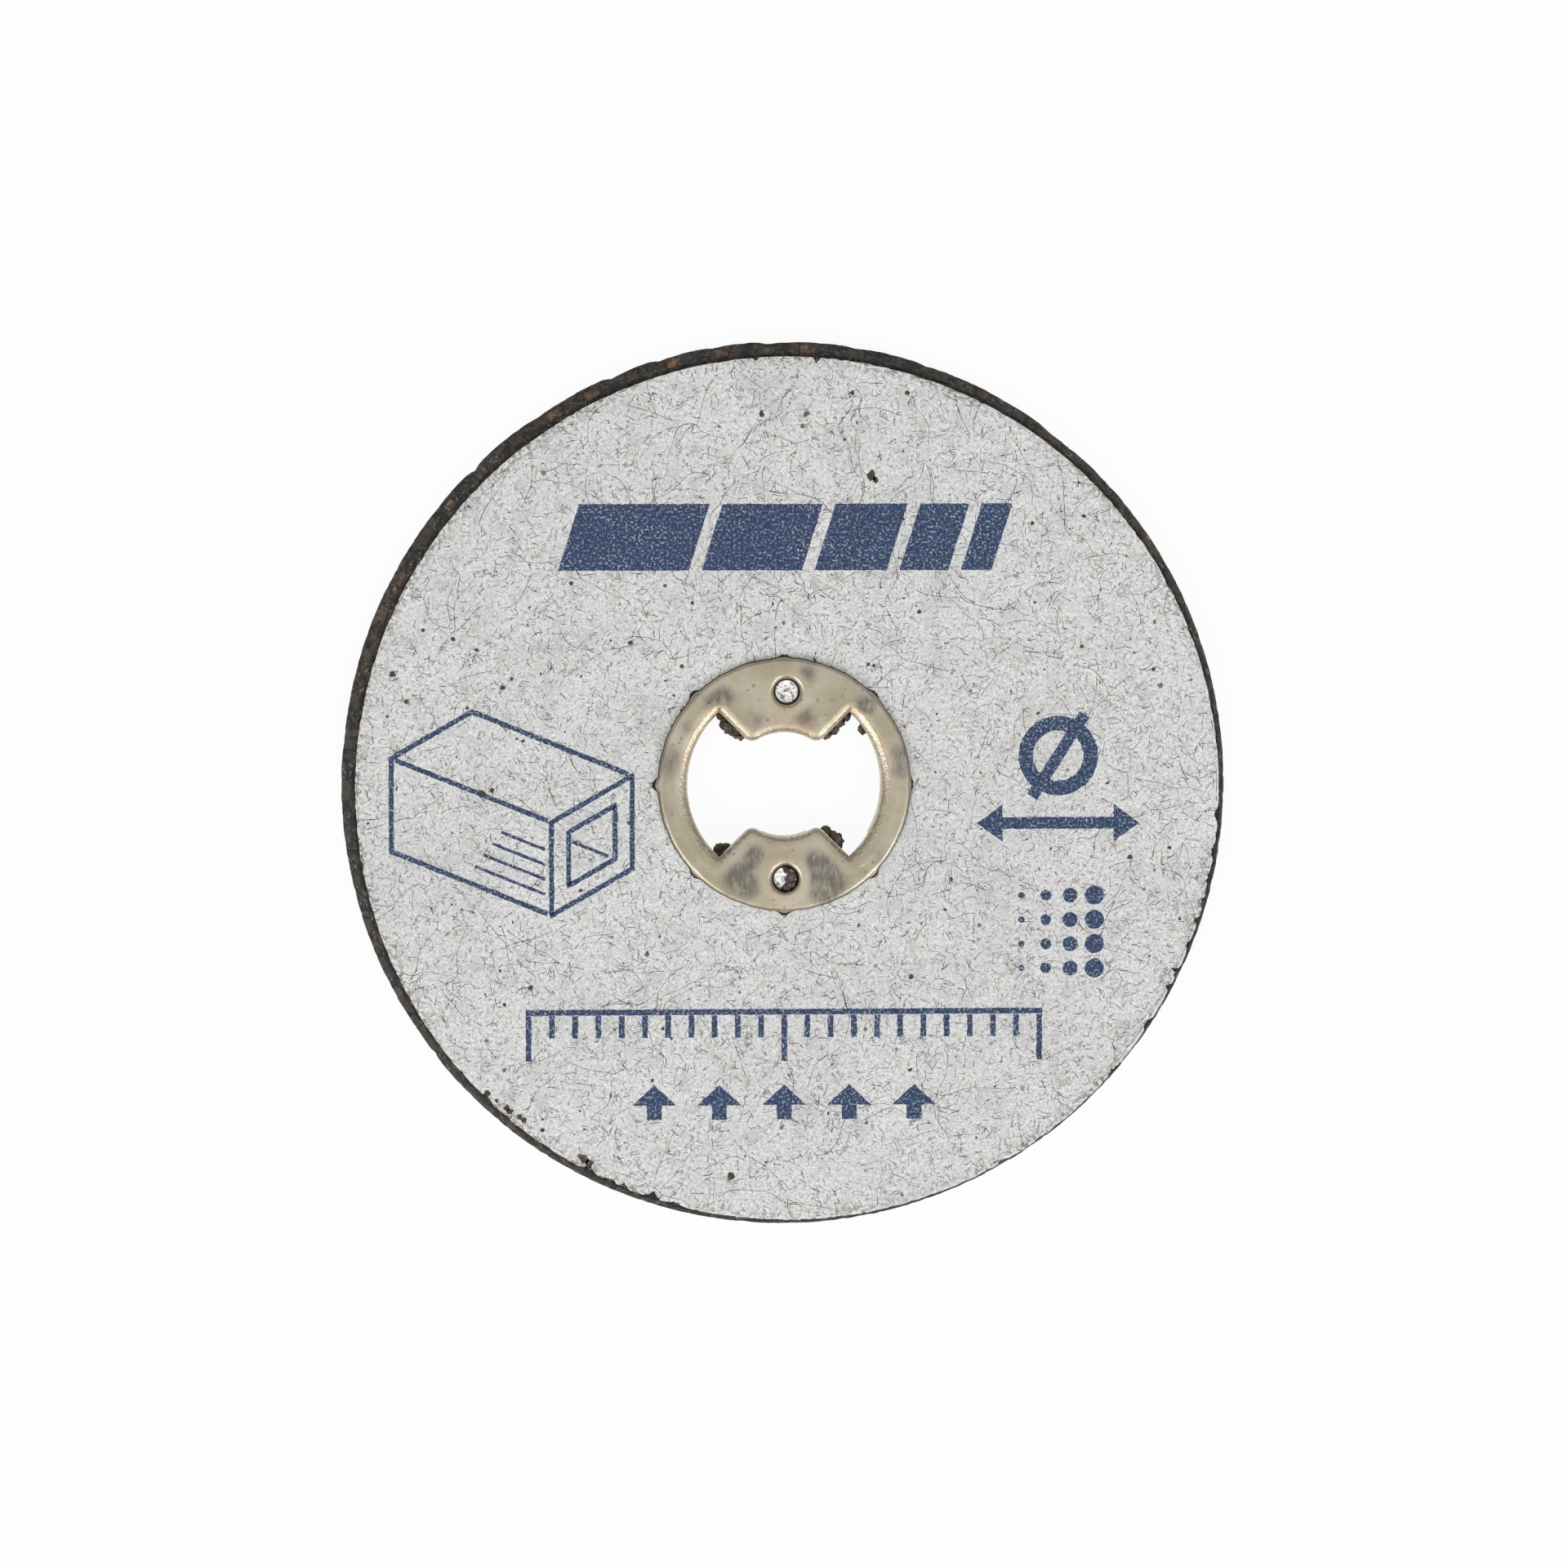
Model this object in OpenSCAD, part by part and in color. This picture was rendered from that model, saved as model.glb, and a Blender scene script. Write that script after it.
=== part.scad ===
// Quick-change cut-off wheel, lying on its back with the papered face up.
// Z is the wheel's axis, z = 0 is the plane that it lies on, and +Y is the top of the face.

/* [Wheel] */
// Outside diameter of the bonded abrasive
wheel_d = 38; // [30:0.5:50]
// Thickness of the bonded abrasive
wheel_t = 1.1; // [0.9:0.05:2]
// How much smaller the front face is than the wheel, in radius
face_inset = 0.41; // [0.35:0.01:1]
// How far the front face lies off the axis, to the right
face_shift_x = 0.15; // [-0.2:0.01:0.2]
// How far the front face lies off the axis, towards the top
face_shift_y = -0.2; // [-0.2:0.01:0.2]
// Straight land at the foot of the leaning rim, where it leans most
rim_land = 0.2; // [0.1:0.05:0.4]

/* [Face paper] */
// Thickness of the paper
paper_t = 0.1; // [0.06:0.01:0.2]
// How far the paper's edge lies inside the front face's edge
paper_trim = 0.03; // [0.02:0.01:0.2]

/* [Hub flange] */
// Outside diameter of the flange
flange_d = 10.9; // [10.7:0.1:14]
// Thickness of the sheet metal
sheet_t = 0.3; // [0.2:0.01:0.34]
// Radius rolled on the outer edge of the flange
rim_roll = 0.12; // [0.05:0.01:0.16]
// Number of teeth round the flange
tooth_count = 8; // [4:1:12]
// Width of a tooth at its root
tooth_w = 1; // [0.6:0.05:1.4]
// Length of a tooth from its root to its point
tooth_l = 0.65; // [0.5:0.05:0.8]
// Angle by which the teeth are bent down
tooth_bend = 50; // [40:1:60]
// Diameter of the two small holes
anchor_d = 1.15; // [0.8:0.05:1.3]
// Distance between the centres of the small holes
anchor_spacing = 8; // [7.6:0.1:8.4]
// Radius rolled on the front edge of the small holes
anchor_roll = 0.14; // [0.05:0.01:0.18]

/* [Mandrel opening] */
// Diameter across the two wings of the opening
wing_d = 8.34; // [7.8:0.02:8.6]
// Diameter across the neck between the lobes
neck_d = 4.5; // [4:0.05:4.9]
// Angle of the wings' straight sides from the long axis
wing_angle = 45; // [42:1:48]
// Distance of the straight sides from the axis
wing_offset = 0.22; // [0.1:0.02:0.3]
// Corner radius of the lobes
lobe_r = 0.45; // [0.42:0.01:0.6]
// Radius of the sheet where it turns into the opening
fold_r = 0.34; // [0.2:0.01:0.36]

/* [Hub tabs] */
// Half the angle that a wing tab spans
wing_tab = 30; // [20:1:34]
// Half the angle that a neck tab spans
neck_tab = 25; // [15:1:28]
// How far the tabs are turned out at the back
clinch_l = 0.6; // [0.3:0.05:0.7]
// Clearance between the folded metal and the abrasive
tab_gap = 0.02; // [0.01:0.01:0.05]

/* [Hidden] */
$fn = 96;

wheel_r = wheel_d / 2;
face_r = wheel_r - face_inset;
face_shift = [face_shift_x, face_shift_y, 0];
rim_slope = (face_inset + norm(face_shift)) / (wheel_t - rim_land);
paper_z = wheel_t;
flange_r = flange_d / 2;
flange_z = paper_z + paper_t;
top_z = flange_z + sheet_t;

// Teeth grow from the middle of the flange's edge and are thinned as they are bent.
tooth_t = 0.6 * sheet_t;
tooth_root_r = flange_r - rim_roll;

// The opening's outline: where a lobe's corner arc is centred, seen along a straight side.
wing_r = wing_d / 2;
neck_r = neck_d / 2;
lobe_v = wing_offset + lobe_r;
lobe_u = sqrt(pow(neck_r + lobe_r, 2) - pow(lobe_v, 2));
lobe_turn = atan2(lobe_v, lobe_u);
apex_u = sqrt(pow(wing_r, 2) - pow(wing_offset, 2));
apex_turn = asin(wing_offset / wing_r);
wing_end = wing_angle + apex_turn;
neck_end = 90 - wing_angle - lobe_turn;

// The abrasive stands back from the straight sides and breaks into crumbs there.
wall_setback = 0.1;
crumb_z = wheel_t / 2;
// Each crumb: mirrored in X, mirrored in Y, place from lobe to wing, radius as a share of wheel_t.
CRUMBS = [
    [1, 0, 0.28, 0.30], [1, 0, 0.52, 0.38], [1, 0, 0.82, 0.24],
    [0, 0, 0.15, 0.16], [0, 0, 0.55, 0.24], [0, 0, 0.85, 0.20],
    [1, 1, 0.88, 0.30], [0, 1, 0.12, 0.22], [0, 1, 0.42, 0.30]
];

// Overlap past a face that a cut goes through, and a reach longer than any cut.
cut = 0.2;
reach = 2 * wing_d;

// The four quarters of the opening, as mirror images of the one at +X +Y.
module each_quarter() {
    for (mx = [0, 1], my = [0, 1])
        mirror([mx, 0, 0])
            mirror([0, my, 0])
                children();
}

// A wedge of the XY plane round the axis, towards +X.
module wedge_2d(half_angle) {
    polygon([[0, 0], reach * [cos(half_angle), -sin(half_angle)],
        [reach, 0], reach * [cos(half_angle), sin(half_angle)]]);
}

// Where the hub has tabs: two wings and two neck arcs, each widened by an angle.
module tab_sectors_2d(widen = 0) {
    for (side = [0, 180])
        rotate(side)
            wedge_2d(wing_tab + widen);
    for (side = [90, 270])
        rotate(side)
            wedge_2d(neck_tab + widen);
}

// The bow-tie opening with rounded lobes, or, moved outwards all round by grow, with sharp ones.
module opening_2d(grow = 0) {
    side = wing_offset + grow;
    start = -side / sin(wing_angle);
    circle(neck_r + grow);
    intersection() {
        circle(wing_r + grow);
        for (mx = [0, 1])
            mirror([mx, 0])
                polygon([[start, 0], [start + reach * cos(wing_angle), -reach * sin(wing_angle)],
                    [start + reach * cos(wing_angle), reach * sin(wing_angle)]]);
    }
    if (grow == 0)
        each_quarter()
            rotate(wing_angle)
                difference() {
                    polygon([[lobe_u, lobe_v], [lobe_u, side], [0, 0],
                        [lobe_u, lobe_v] * neck_r / (neck_r + lobe_r)]);
                    translate([lobe_u, lobe_v])
                        circle(lobe_r);
                }
}

// Sweeps a section along the opening's wing and neck arcs: its x runs into the metal, its y up.
module along_arcs() {
    for (side = [0, 180])
        rotate(side - wing_end)
            rotate_extrude(angle = 2 * wing_end)
                translate([wing_r, 0])
                    children();
    for (side = [90, 270])
        rotate(side - neck_end)
            rotate_extrude(angle = 2 * neck_end)
                translate([neck_r, 0])
                    children();
}

// Sweeps the same section along the straight sides, the lobes' corners and the wings' corners.
module along_sides() {
    each_quarter()
        rotate(wing_angle) {
            translate([lobe_u, wing_offset, 0])
                rotate([90, 0, 90])
                    linear_extrude(apex_u - lobe_u)
                        children();
            translate([lobe_u, lobe_v, 0])
                rotate(180 + lobe_turn)
                    rotate_extrude(angle = 90 - lobe_turn)
                        translate([lobe_r, 0])
                            mirror([1, 0])
                                children();
            translate([apex_u, wing_offset, 0])
                rotate(apex_turn)
                    rotate_extrude(angle = 90 - apex_turn)
                        intersection() {
                            children();
                            translate([0, -reach / 2])
                                square([reach, reach]);
                        }
        }
}

// The corner that a rolled edge takes off: the edge is at x = 0, the face at y = 0.
module edge_section(radius) {
    centre = 0.99 * radius;
    width = centre + sqrt(pow(radius, 2) - pow(centre, 2));
    difference() {
        translate([-cut, -width])
            square([width + cut, width + cut]);
        translate([centre, -centre])
            circle(radius);
    }
}

// The pointed teeth that bite through the paper.
module teeth() {
    for (i = [0 : tooth_count - 1])
        rotate(i * 360 / tooth_count)
            translate([tooth_root_r, 0, top_z - rim_roll / 2])
                rotate([0, tooth_bend, 0])
                    translate([0, 0, -tooth_t])
                        linear_extrude(tooth_t)
                            polygon([[0, -tooth_w / 2], [tooth_l, 0], [0, tooth_w / 2]]);
}

// A band of sheet along the opening's tabs, out to a distance from the opening.
module tab_band_2d(width, gap = 0) {
    intersection() {
        opening_2d(width + gap);
        tab_sectors_2d(gap > 0 ? 1 : 0);
    }
}

// One stamping: flange with teeth, edges rolled into the opening, and tabs clinched at the back.
module hub_plate() {
    color("#b8ad97")
        difference() {
            union() {
                translate([0, 0, flange_z])
                    cylinder(r = flange_r, h = sheet_t);
                translate([0, 0, paper_z])
                    linear_extrude(paper_t)
                        opening_2d(sheet_t);
                linear_extrude(paper_z)
                    tab_band_2d(sheet_t);
                linear_extrude(sheet_t)
                    tab_band_2d(sheet_t + clinch_l);
                teeth();
            }
            translate([0, 0, -cut])
                linear_extrude(top_z + 2 * cut)
                    opening_2d();
            translate([0, 0, top_z]) {
                along_arcs()
                    edge_section(fold_r);
                along_sides()
                    edge_section(fold_r);
            }
            mirror([0, 0, 1])
                along_arcs()
                    edge_section(fold_r);
            translate([0, 0, top_z])
                rotate_extrude()
                    translate([flange_r, 0])
                        mirror([1, 0])
                            edge_section(rim_roll);
            for (side = [-1, 1])
                translate([0, side * anchor_spacing / 2, 0]) {
                    translate([0, 0, flange_z - paper_t / 2])
                        cylinder(d = anchor_d, h = sheet_t + cut);
                    translate([0, 0, top_z])
                        rotate_extrude()
                            translate([anchor_d / 2, 0])
                                edge_section(anchor_roll);
                }
        }
}

// The printed paper, which covers the front face and lies off centre with it.
module face_paper() {
    color("#d3d5d4")
        difference() {
            translate([face_shift_x, face_shift_y, paper_z])
                cylinder(r = face_r - paper_trim, h = paper_t);
            translate([0, 0, paper_z - cut])
                linear_extrude(paper_t + 2 * cut)
                    opening_2d(sheet_t + tab_gap);
            teeth();
        }
}

// The wheel itself: resin and grit pressed over glass mesh, with a rim that leans in to the face
// and crumbs left in the opening.
module abrasive_disc() {
    color("#433e39") {
        difference() {
            intersection() {
                cylinder(r = wheel_r, h = wheel_t);
                translate(face_shift - [0, 0, cut])
                    cylinder(r1 = face_r + (wheel_t + cut) * rim_slope, r2 = face_r - cut * rim_slope,
                        h = wheel_t + 2 * cut);
            }
            translate([0, 0, -cut])
                linear_extrude(wheel_t + 2 * cut) {
                    opening_2d(wall_setback);
                    tab_band_2d(sheet_t, tab_gap);
                }
            translate([0, 0, -cut])
                linear_extrude(sheet_t + tab_gap + cut)
                    tab_band_2d(sheet_t + clinch_l, tab_gap);
            teeth();
        }
        for (crumb = CRUMBS)
            mirror([crumb[0], 0, 0])
                mirror([0, crumb[1], 0])
                    rotate(wing_angle)
                        translate([lobe_u + crumb[2] * (apex_u - lobe_u), wing_offset, crumb_z])
                            sphere(crumb[3] * wheel_t);
    }
}

abrasive_disc();
face_paper();
hub_plate();
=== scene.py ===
import math
from functools import partialmethod

import bmesh
import bpy
import numpy as np
from mathutils import Matrix, Vector, noise
from mathutils.bvhtree import BVHTree


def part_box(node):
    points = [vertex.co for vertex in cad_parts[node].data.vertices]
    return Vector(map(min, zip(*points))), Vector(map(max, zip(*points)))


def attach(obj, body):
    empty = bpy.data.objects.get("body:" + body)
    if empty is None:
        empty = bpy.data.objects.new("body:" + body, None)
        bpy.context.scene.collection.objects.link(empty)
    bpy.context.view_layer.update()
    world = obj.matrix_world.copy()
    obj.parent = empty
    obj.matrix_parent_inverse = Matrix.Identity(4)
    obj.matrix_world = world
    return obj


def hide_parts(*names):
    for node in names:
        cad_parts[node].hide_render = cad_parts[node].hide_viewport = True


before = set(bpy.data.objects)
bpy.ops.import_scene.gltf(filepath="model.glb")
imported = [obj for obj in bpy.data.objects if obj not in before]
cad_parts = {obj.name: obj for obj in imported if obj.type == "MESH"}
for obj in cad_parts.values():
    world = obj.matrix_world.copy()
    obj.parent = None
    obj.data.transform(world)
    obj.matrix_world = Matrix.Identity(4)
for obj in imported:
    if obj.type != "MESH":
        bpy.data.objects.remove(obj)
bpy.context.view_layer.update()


# Abrasive disc: grit and resin pressed round layers of glass mesh and baked hard. Its rim is cut at a
# slant round a face that lies a little off the axis, and it is chipped. The hub's opening goes through it.
MM = 0.001
WHEEL_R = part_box("abrasive_disc")[1].x
WHEEL_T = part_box("abrasive_disc")[1].z
FACE_R = WHEEL_R - 0.41 * MM
FACE_SHIFT = np.array((0.15, -0.2)) * MM
RIM_LAND = 0.2 * MM
RIM_SLOPE = (WHEEL_R - FACE_R + math.hypot(*FACE_SHIFT)) / (WHEEL_T - RIM_LAND)
RIM_FOOT = 0.04 * MM
RIM_GROOVE = 0.06 * MM
RIM_GRIT, FINE_GRIT, COARSE_GRIT = 0.07 * MM, 0.35 * MM, 1.4 * MM
# Each chip of the rim: its steep end in degrees, its depth in mm, and the degrees over which it deepens.
CHIPS = ((53.2, 0.08, 4), (71.8, 0.08, 1.6), (81.2, 0.07, 1.2), (92.8, 0.1, 4), (99.6, 0.07, 2.4),
         (106.6, 0.1, 2), (113.2, 0.11, 1.8), (124.5, 0.06, 4), (134.4, 0.13, 0.7), (174, 0.05, 4),
         (217, 0.05, 5))
CHIP_STEP = 0.6
BACK_SINK, BACK_GRIT, BACK_GRAIN = 0.05 * MM, 0.03 * MM, 0.5 * MM
WALL_SETBACK = 0.1 * MM
# Near-black: the colour of cracks in the resin, and painted shade under the paper's edge.
CRACK_AND_SHADE_BLACK = (0.004, 0.004, 0.004)

WING_R = 4.17 * MM
NECK_R = 2.25 * MM
WING_ANGLE = math.radians(45)
SIDE_OFFSET = 0.22 * MM
LOBE_R = 0.45 * MM
LOBE_V = SIDE_OFFSET + LOBE_R
LOBE_U = math.sqrt((NECK_R + LOBE_R) ** 2 - LOBE_V ** 2)
APEX_TURN = math.asin(SIDE_OFFSET / WING_R)
APEX_U = WING_R * math.cos(APEX_TURN)
ALONG_SIDE = np.array((math.cos(WING_ANGLE), math.sin(WING_ANGLE)))
ACROSS_SIDE = np.array((-ALONG_SIDE[1], ALONG_SIDE[0]))
SHEET_T = 0.3 * MM
TAB_GAP = 0.02 * MM
CLINCH_L = 0.6 * MM
WING_TAB, NECK_TAB = 30, 25


def opening_outline(fineness):
    """One turn round the bow-tie opening: its points, and at each the direction into what surrounds it."""

    def turned(first, last, steps):
        angles = np.linspace(first, last, steps * fineness, endpoint=False)
        return np.stack((np.cos(angles), np.sin(angles)), axis=1)

    side_turn = WING_ANGLE + math.pi / 2
    lobe_turn = WING_ANGLE + math.atan2(LOBE_V, LOBE_U)
    wing = turned(0, WING_ANGLE + APEX_TURN, 10)
    fan = turned(WING_ANGLE + APEX_TURN, side_turn, 3)
    side = turned(side_turn, side_turn, 5)
    bend = turned(side_turn, lobe_turn, 4)
    neck = turned(lobe_turn, math.pi / 2, 4)
    apex = APEX_U * ALONG_SIDE + SIDE_OFFSET * ACROSS_SIDE
    side_run = np.linspace(0, LOBE_U - APEX_U, len(side), endpoint=False)[:, None] * ALONG_SIDE
    lobe = LOBE_U * ALONG_SIDE + LOBE_V * ACROSS_SIDE
    top = np.array([(0, 1)])
    points = np.concatenate((WING_R * wing, apex + 0 * fan, apex + side_run, lobe - LOBE_R * bend,
                             NECK_R * neck, NECK_R * top))
    directions = np.concatenate((wing, fan, side, bend, neck, top))
    turn = []
    for quarter in (points, directions):
        half = np.concatenate((quarter[:-1], quarter[:0:-1] * (-1, 1)))
        turn.append(np.concatenate((half, -half)))
    return turn


def tab_mask(points):
    """True for the points of the opening where the hub has a tab that goes through the wheel."""
    turns = np.degrees(np.arctan2(abs(points[:, 1]), abs(points[:, 0])))
    return (turns <= WING_TAB) | (turns >= 90 - NECK_TAB)


def round_axis(count):
    """That many angles, evenly round a full turn, and the direction of each."""
    turns = np.linspace(0, 2 * math.pi, count, endpoint=False)
    return turns, np.stack((np.cos(turns), np.sin(turns)), axis=1)


def degrees_past(turns, place):
    """How far each angle lies past a place, from -180 to 180 degrees."""
    return (np.degrees(turns) - place + 180) % 360 - 180


def raised(flat, z):
    """Points in a plane, lifted to one height or to a height each."""
    return np.column_stack((flat, np.broadcast_to(z, len(flat))))


def lumps(points, size, seed):
    """Smooth noise from about 0 to 1 at each point, with features of about that size."""
    shift = Vector((7.3, 3.1, 5.7)) * seed
    return np.array([0.5 + 0.5 * noise.fractal(Vector(p) / size + shift, 1.0, 2.0, 3) for p in points])


def smoothed(mesh, crease):
    """Shades a mesh smooth, and keeps edges sharp that turn by more than crease, in degrees."""
    mesh.shade_smooth()
    mesh.set_sharp_from_angle(angle=math.radians(crease))


def finished(name, form, crease, material=None):
    """The object of a bmesh, with doubles merged, faces outwards, smooth shading and its material."""
    bmesh.ops.remove_doubles(form, verts=form.verts, dist=1e-7)
    bmesh.ops.recalc_face_normals(form, faces=form.faces)
    mesh = bpy.data.meshes.new(name)
    form.to_mesh(mesh)
    form.free()
    smoothed(mesh, crease)
    if material:
        mesh.materials.append(material)
    piece = bpy.data.objects.new(name, mesh)
    bpy.context.scene.collection.objects.link(piece)
    return piece


def ring_form(loops):
    """A closed ring as a bmesh, from loops of points that follow one another round its section."""
    count = len(loops[0])
    here = np.arange(count)
    beside = np.roll(here, -1)
    form = bmesh.new()
    corners = [form.verts.new(p) for p in np.concatenate(loops)]
    for k in range(len(loops)):
        low, high = k * count, (k + 1) % len(loops) * count
        for a, b in zip(here, beside):
            form.faces.new((corners[low + a], corners[low + b], corners[high + b], corners[high + a]))
    return form


def disc_loops():
    """Loops of the disc's section: front face, leaning rim, land, back face and the wall of the opening."""
    outline, into = opening_outline(13)
    turns, ways = round_axis(len(outline))
    lean = ways @ FACE_SHIFT
    reach = np.sqrt(lean ** 2 - FACE_SHIFT @ FACE_SHIFT + WHEEL_R ** 2) - lean
    drop = (reach - FACE_R) / RIM_SLOPE
    chips = np.zeros(len(turns))
    for chip, depth, run in CHIPS:
        past = degrees_past(turns, chip)
        fade = np.where(past < 0, -past / run, past / CHIP_STEP)
        chips = np.maximum(chips, depth * MM * np.exp(-fade))
    tabs = tab_mask(outline)
    wall = np.where(tabs, SHEET_T + TAB_GAP, WALL_SETBACK)[:, None] * into + outline
    seat = outline + into * (SHEET_T + CLINCH_L + 2 * TAB_GAP)
    seat_z = np.where(tabs, SHEET_T + TAB_GAP, BACK_SINK)

    def rim_loop(radius, z, groove, chipped):
        loop = raised(FACE_SHIFT + ways * radius[:, None], z)
        grit = 0.7 * lumps(loop, FINE_GRIT, 1) + 0.5 * lumps(loop, COARSE_GRIT, 2) - 0.35
        bite = groove + chips * chipped + RIM_GRIT * np.clip(grit, 0, 1)
        return raised(FACE_SHIFT + ways * (radius - bite)[:, None], z)

    loops = [raised(wall, WHEEL_T), raised(FACE_SHIFT + 0.5 * FACE_R * ways, WHEEL_T)]
    for share in (0, 0.05, 0.12, *np.arange(2, 11) / 10):
        groove = RIM_GROOVE if 0 < share < 0.2 else 0
        loops.append(rim_loop(FACE_R + share * drop * RIM_SLOPE, WHEEL_T - share * drop, groove, share))
    for share in (0.6, 0.3, 0.1):
        loops.append(rim_loop(reach, share * (WHEEL_T - drop), 0, 1))
    loops.append(rim_loop(reach - RIM_FOOT, 0, 0, 1))
    for share in (0.02, 0.05, 0.1, 0.16, 0.24, 0.32, 0.4, 0.5, 0.6, 0.7, 0.8, 0.9, 1):
        flat = (FACE_SHIFT + ways * reach[:, None]) * (1 - share) + seat * share
        sunk = raised(flat, BACK_SINK)
        sunk[:, 2] += BACK_GRIT * (lumps(sunk, BACK_GRAIN, 3) - 0.5)
        loops.append(sunk)
    loops.append(raised(seat - into * TAB_GAP, seat_z))
    loops.append(raised(wall, seat_z))
    loops.append(raised(wall, seat_z * 0.5 + WHEEL_T * 0.5))
    return loops


class Wire:
    """An output socket in a node tree. Arithmetic with it adds Math nodes to that tree."""

    def __init__(self, socket):
        self.socket = socket

    def __getitem__(self, key):
        """Another output of the same node."""
        return Wire(self.socket.node.outputs[key])

    def reckon(self, operation, *terms):
        """A Math node on these terms."""
        nodes = Nodes(self.socket.id_data)
        return nodes.node("ShaderNodeMath", {"operation": operation}, dict(enumerate(terms)))

    def math(self, operation, *others):
        """A Math node on this wire and any others."""
        return self.reckon(operation, self, *others)

    def __rsub__(self, other):
        return self.reckon("SUBTRACT", other, self)

    def __rtruediv__(self, other):
        return self.reckon("DIVIDE", other, self)

    __add__ = __radd__ = partialmethod(math, "ADD")
    __sub__ = partialmethod(math, "SUBTRACT")
    __mul__ = __rmul__ = partialmethod(math, "MULTIPLY")
    __truediv__ = partialmethod(math, "DIVIDE")
    __pow__ = partialmethod(math, "POWER")
    __gt__ = partialmethod(math, "GREATER_THAN")
    __lt__ = partialmethod(math, "LESS_THAN")

    def ramp(self, low, high):
        """0 below low and 1 above high, or the other way round, smooth in between."""
        ends = {"Value": self, "From Min": low, "From Max": high}
        nodes = Nodes(self.socket.id_data)
        return nodes.node("ShaderNodeMapRange", {"interpolation_type": "SMOOTHSTEP"}, ends)


class Nodes:
    """A node tree in the making."""

    def __init__(self, tree):
        self.tree = tree

    def node(self, kind, settings=None, sockets=None):
        """Adds a node, sets it, then fills its sockets with values or wires. Gives its first output."""
        made = self.tree.nodes.new(kind)
        for name, value in (settings or {}).items():
            setattr(made, name, value)
        for key, value in (sockets or {}).items():
            if isinstance(value, Wire):
                self.tree.links.new(value.socket, made.inputs[key])
            else:
                made.inputs[key].default_value = value
        return Wire(made.outputs[0]) if made.outputs else None

    def vector(self, operation, *terms):
        return self.node("ShaderNodeVectorMath", {"operation": operation}, dict(enumerate(terms)))

    def parts(self, vector):
        """The X, Y and Z of a vector, as outputs of those names."""
        return self.node("ShaderNodeSeparateXYZ", None, {0: vector})


class Finish(Nodes):
    """A material in the making: coats of colour over a base, by patterns on the piece's own coordinates."""

    def __init__(self, name, base):
        self.material = bpy.data.materials.new(name)
        self.material.use_nodes = True
        super().__init__(self.material.node_tree)
        self.tree.nodes.clear()
        self.place = self.node("ShaderNodeTexCoord")["Object"]
        self.colour = (*base, 1)

    def noise(self, size, detail=2, warp=0, place=None):
        """Soft noise from 0 to 1 with features of about that size in mm."""
        return self.node("ShaderNodeTexNoise", None, {"Vector": place or self.place, "Scale": 1 / (size * MM),
                                                      "Detail": detail, "Distortion": warp})

    def cells(self, size, feature="F1"):
        """Cells of about that size in mm: the distance in each, with its own colour as another output."""
        return self.node("ShaderNodeTexVoronoi", {"feature": feature},
                         {"Vector": self.place, "Scale": 1 / (size * MM)})

    def chance(self, size):
        """One random number from 0 to 1 for each cell of that size in mm."""
        return self.node("ShaderNodeSeparateColor", None, {0: self.cells(size)["Color"]})

    def height(self):
        """Height above the table."""
        return self.parts(self.place)["Z"]

    def away(self, centre=(0, 0)):
        """Distance from an upright line, which is the wheel's axis unless another place is given."""
        flat = self.vector("MULTIPLY", self.place, (1, 1, 0))
        return self.vector("DISTANCE", flat, (*centre, 0))["Value"]

    def spots(self, places):
        """The sum of soft spots on the face, each given by x, y and radius in mm and a weight."""
        return sum(weight * self.away((x * MM, y * MM)).ramp(radius * MM, 0)
                   for x, y, radius, weight in places)

    def coat(self, share, tone):
        """Lays a tone over the colour so far, by a share from 0 to 1."""
        self.colour = self.node("ShaderNodeMix", {"data_type": "RGBA"},
                                {0: share, 6: self.colour, 7: (*tone, 1)})[2]

    def surface(self, roughness, height, depth, **fixed):
        """Ends the material. A height of 1 stands for a relief of that depth in metres."""
        bump = self.node("ShaderNodeBump", None, {"Height": height, "Strength": 1.0, "Distance": depth})
        sockets = {"Base Color": self.colour, "Roughness": roughness, "Normal": bump, **fixed}
        shader = self.node("ShaderNodeBsdfPrincipled", None, sockets)
        self.node("ShaderNodeOutputMaterial", None, {"Surface": shader})
        return self.material


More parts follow.
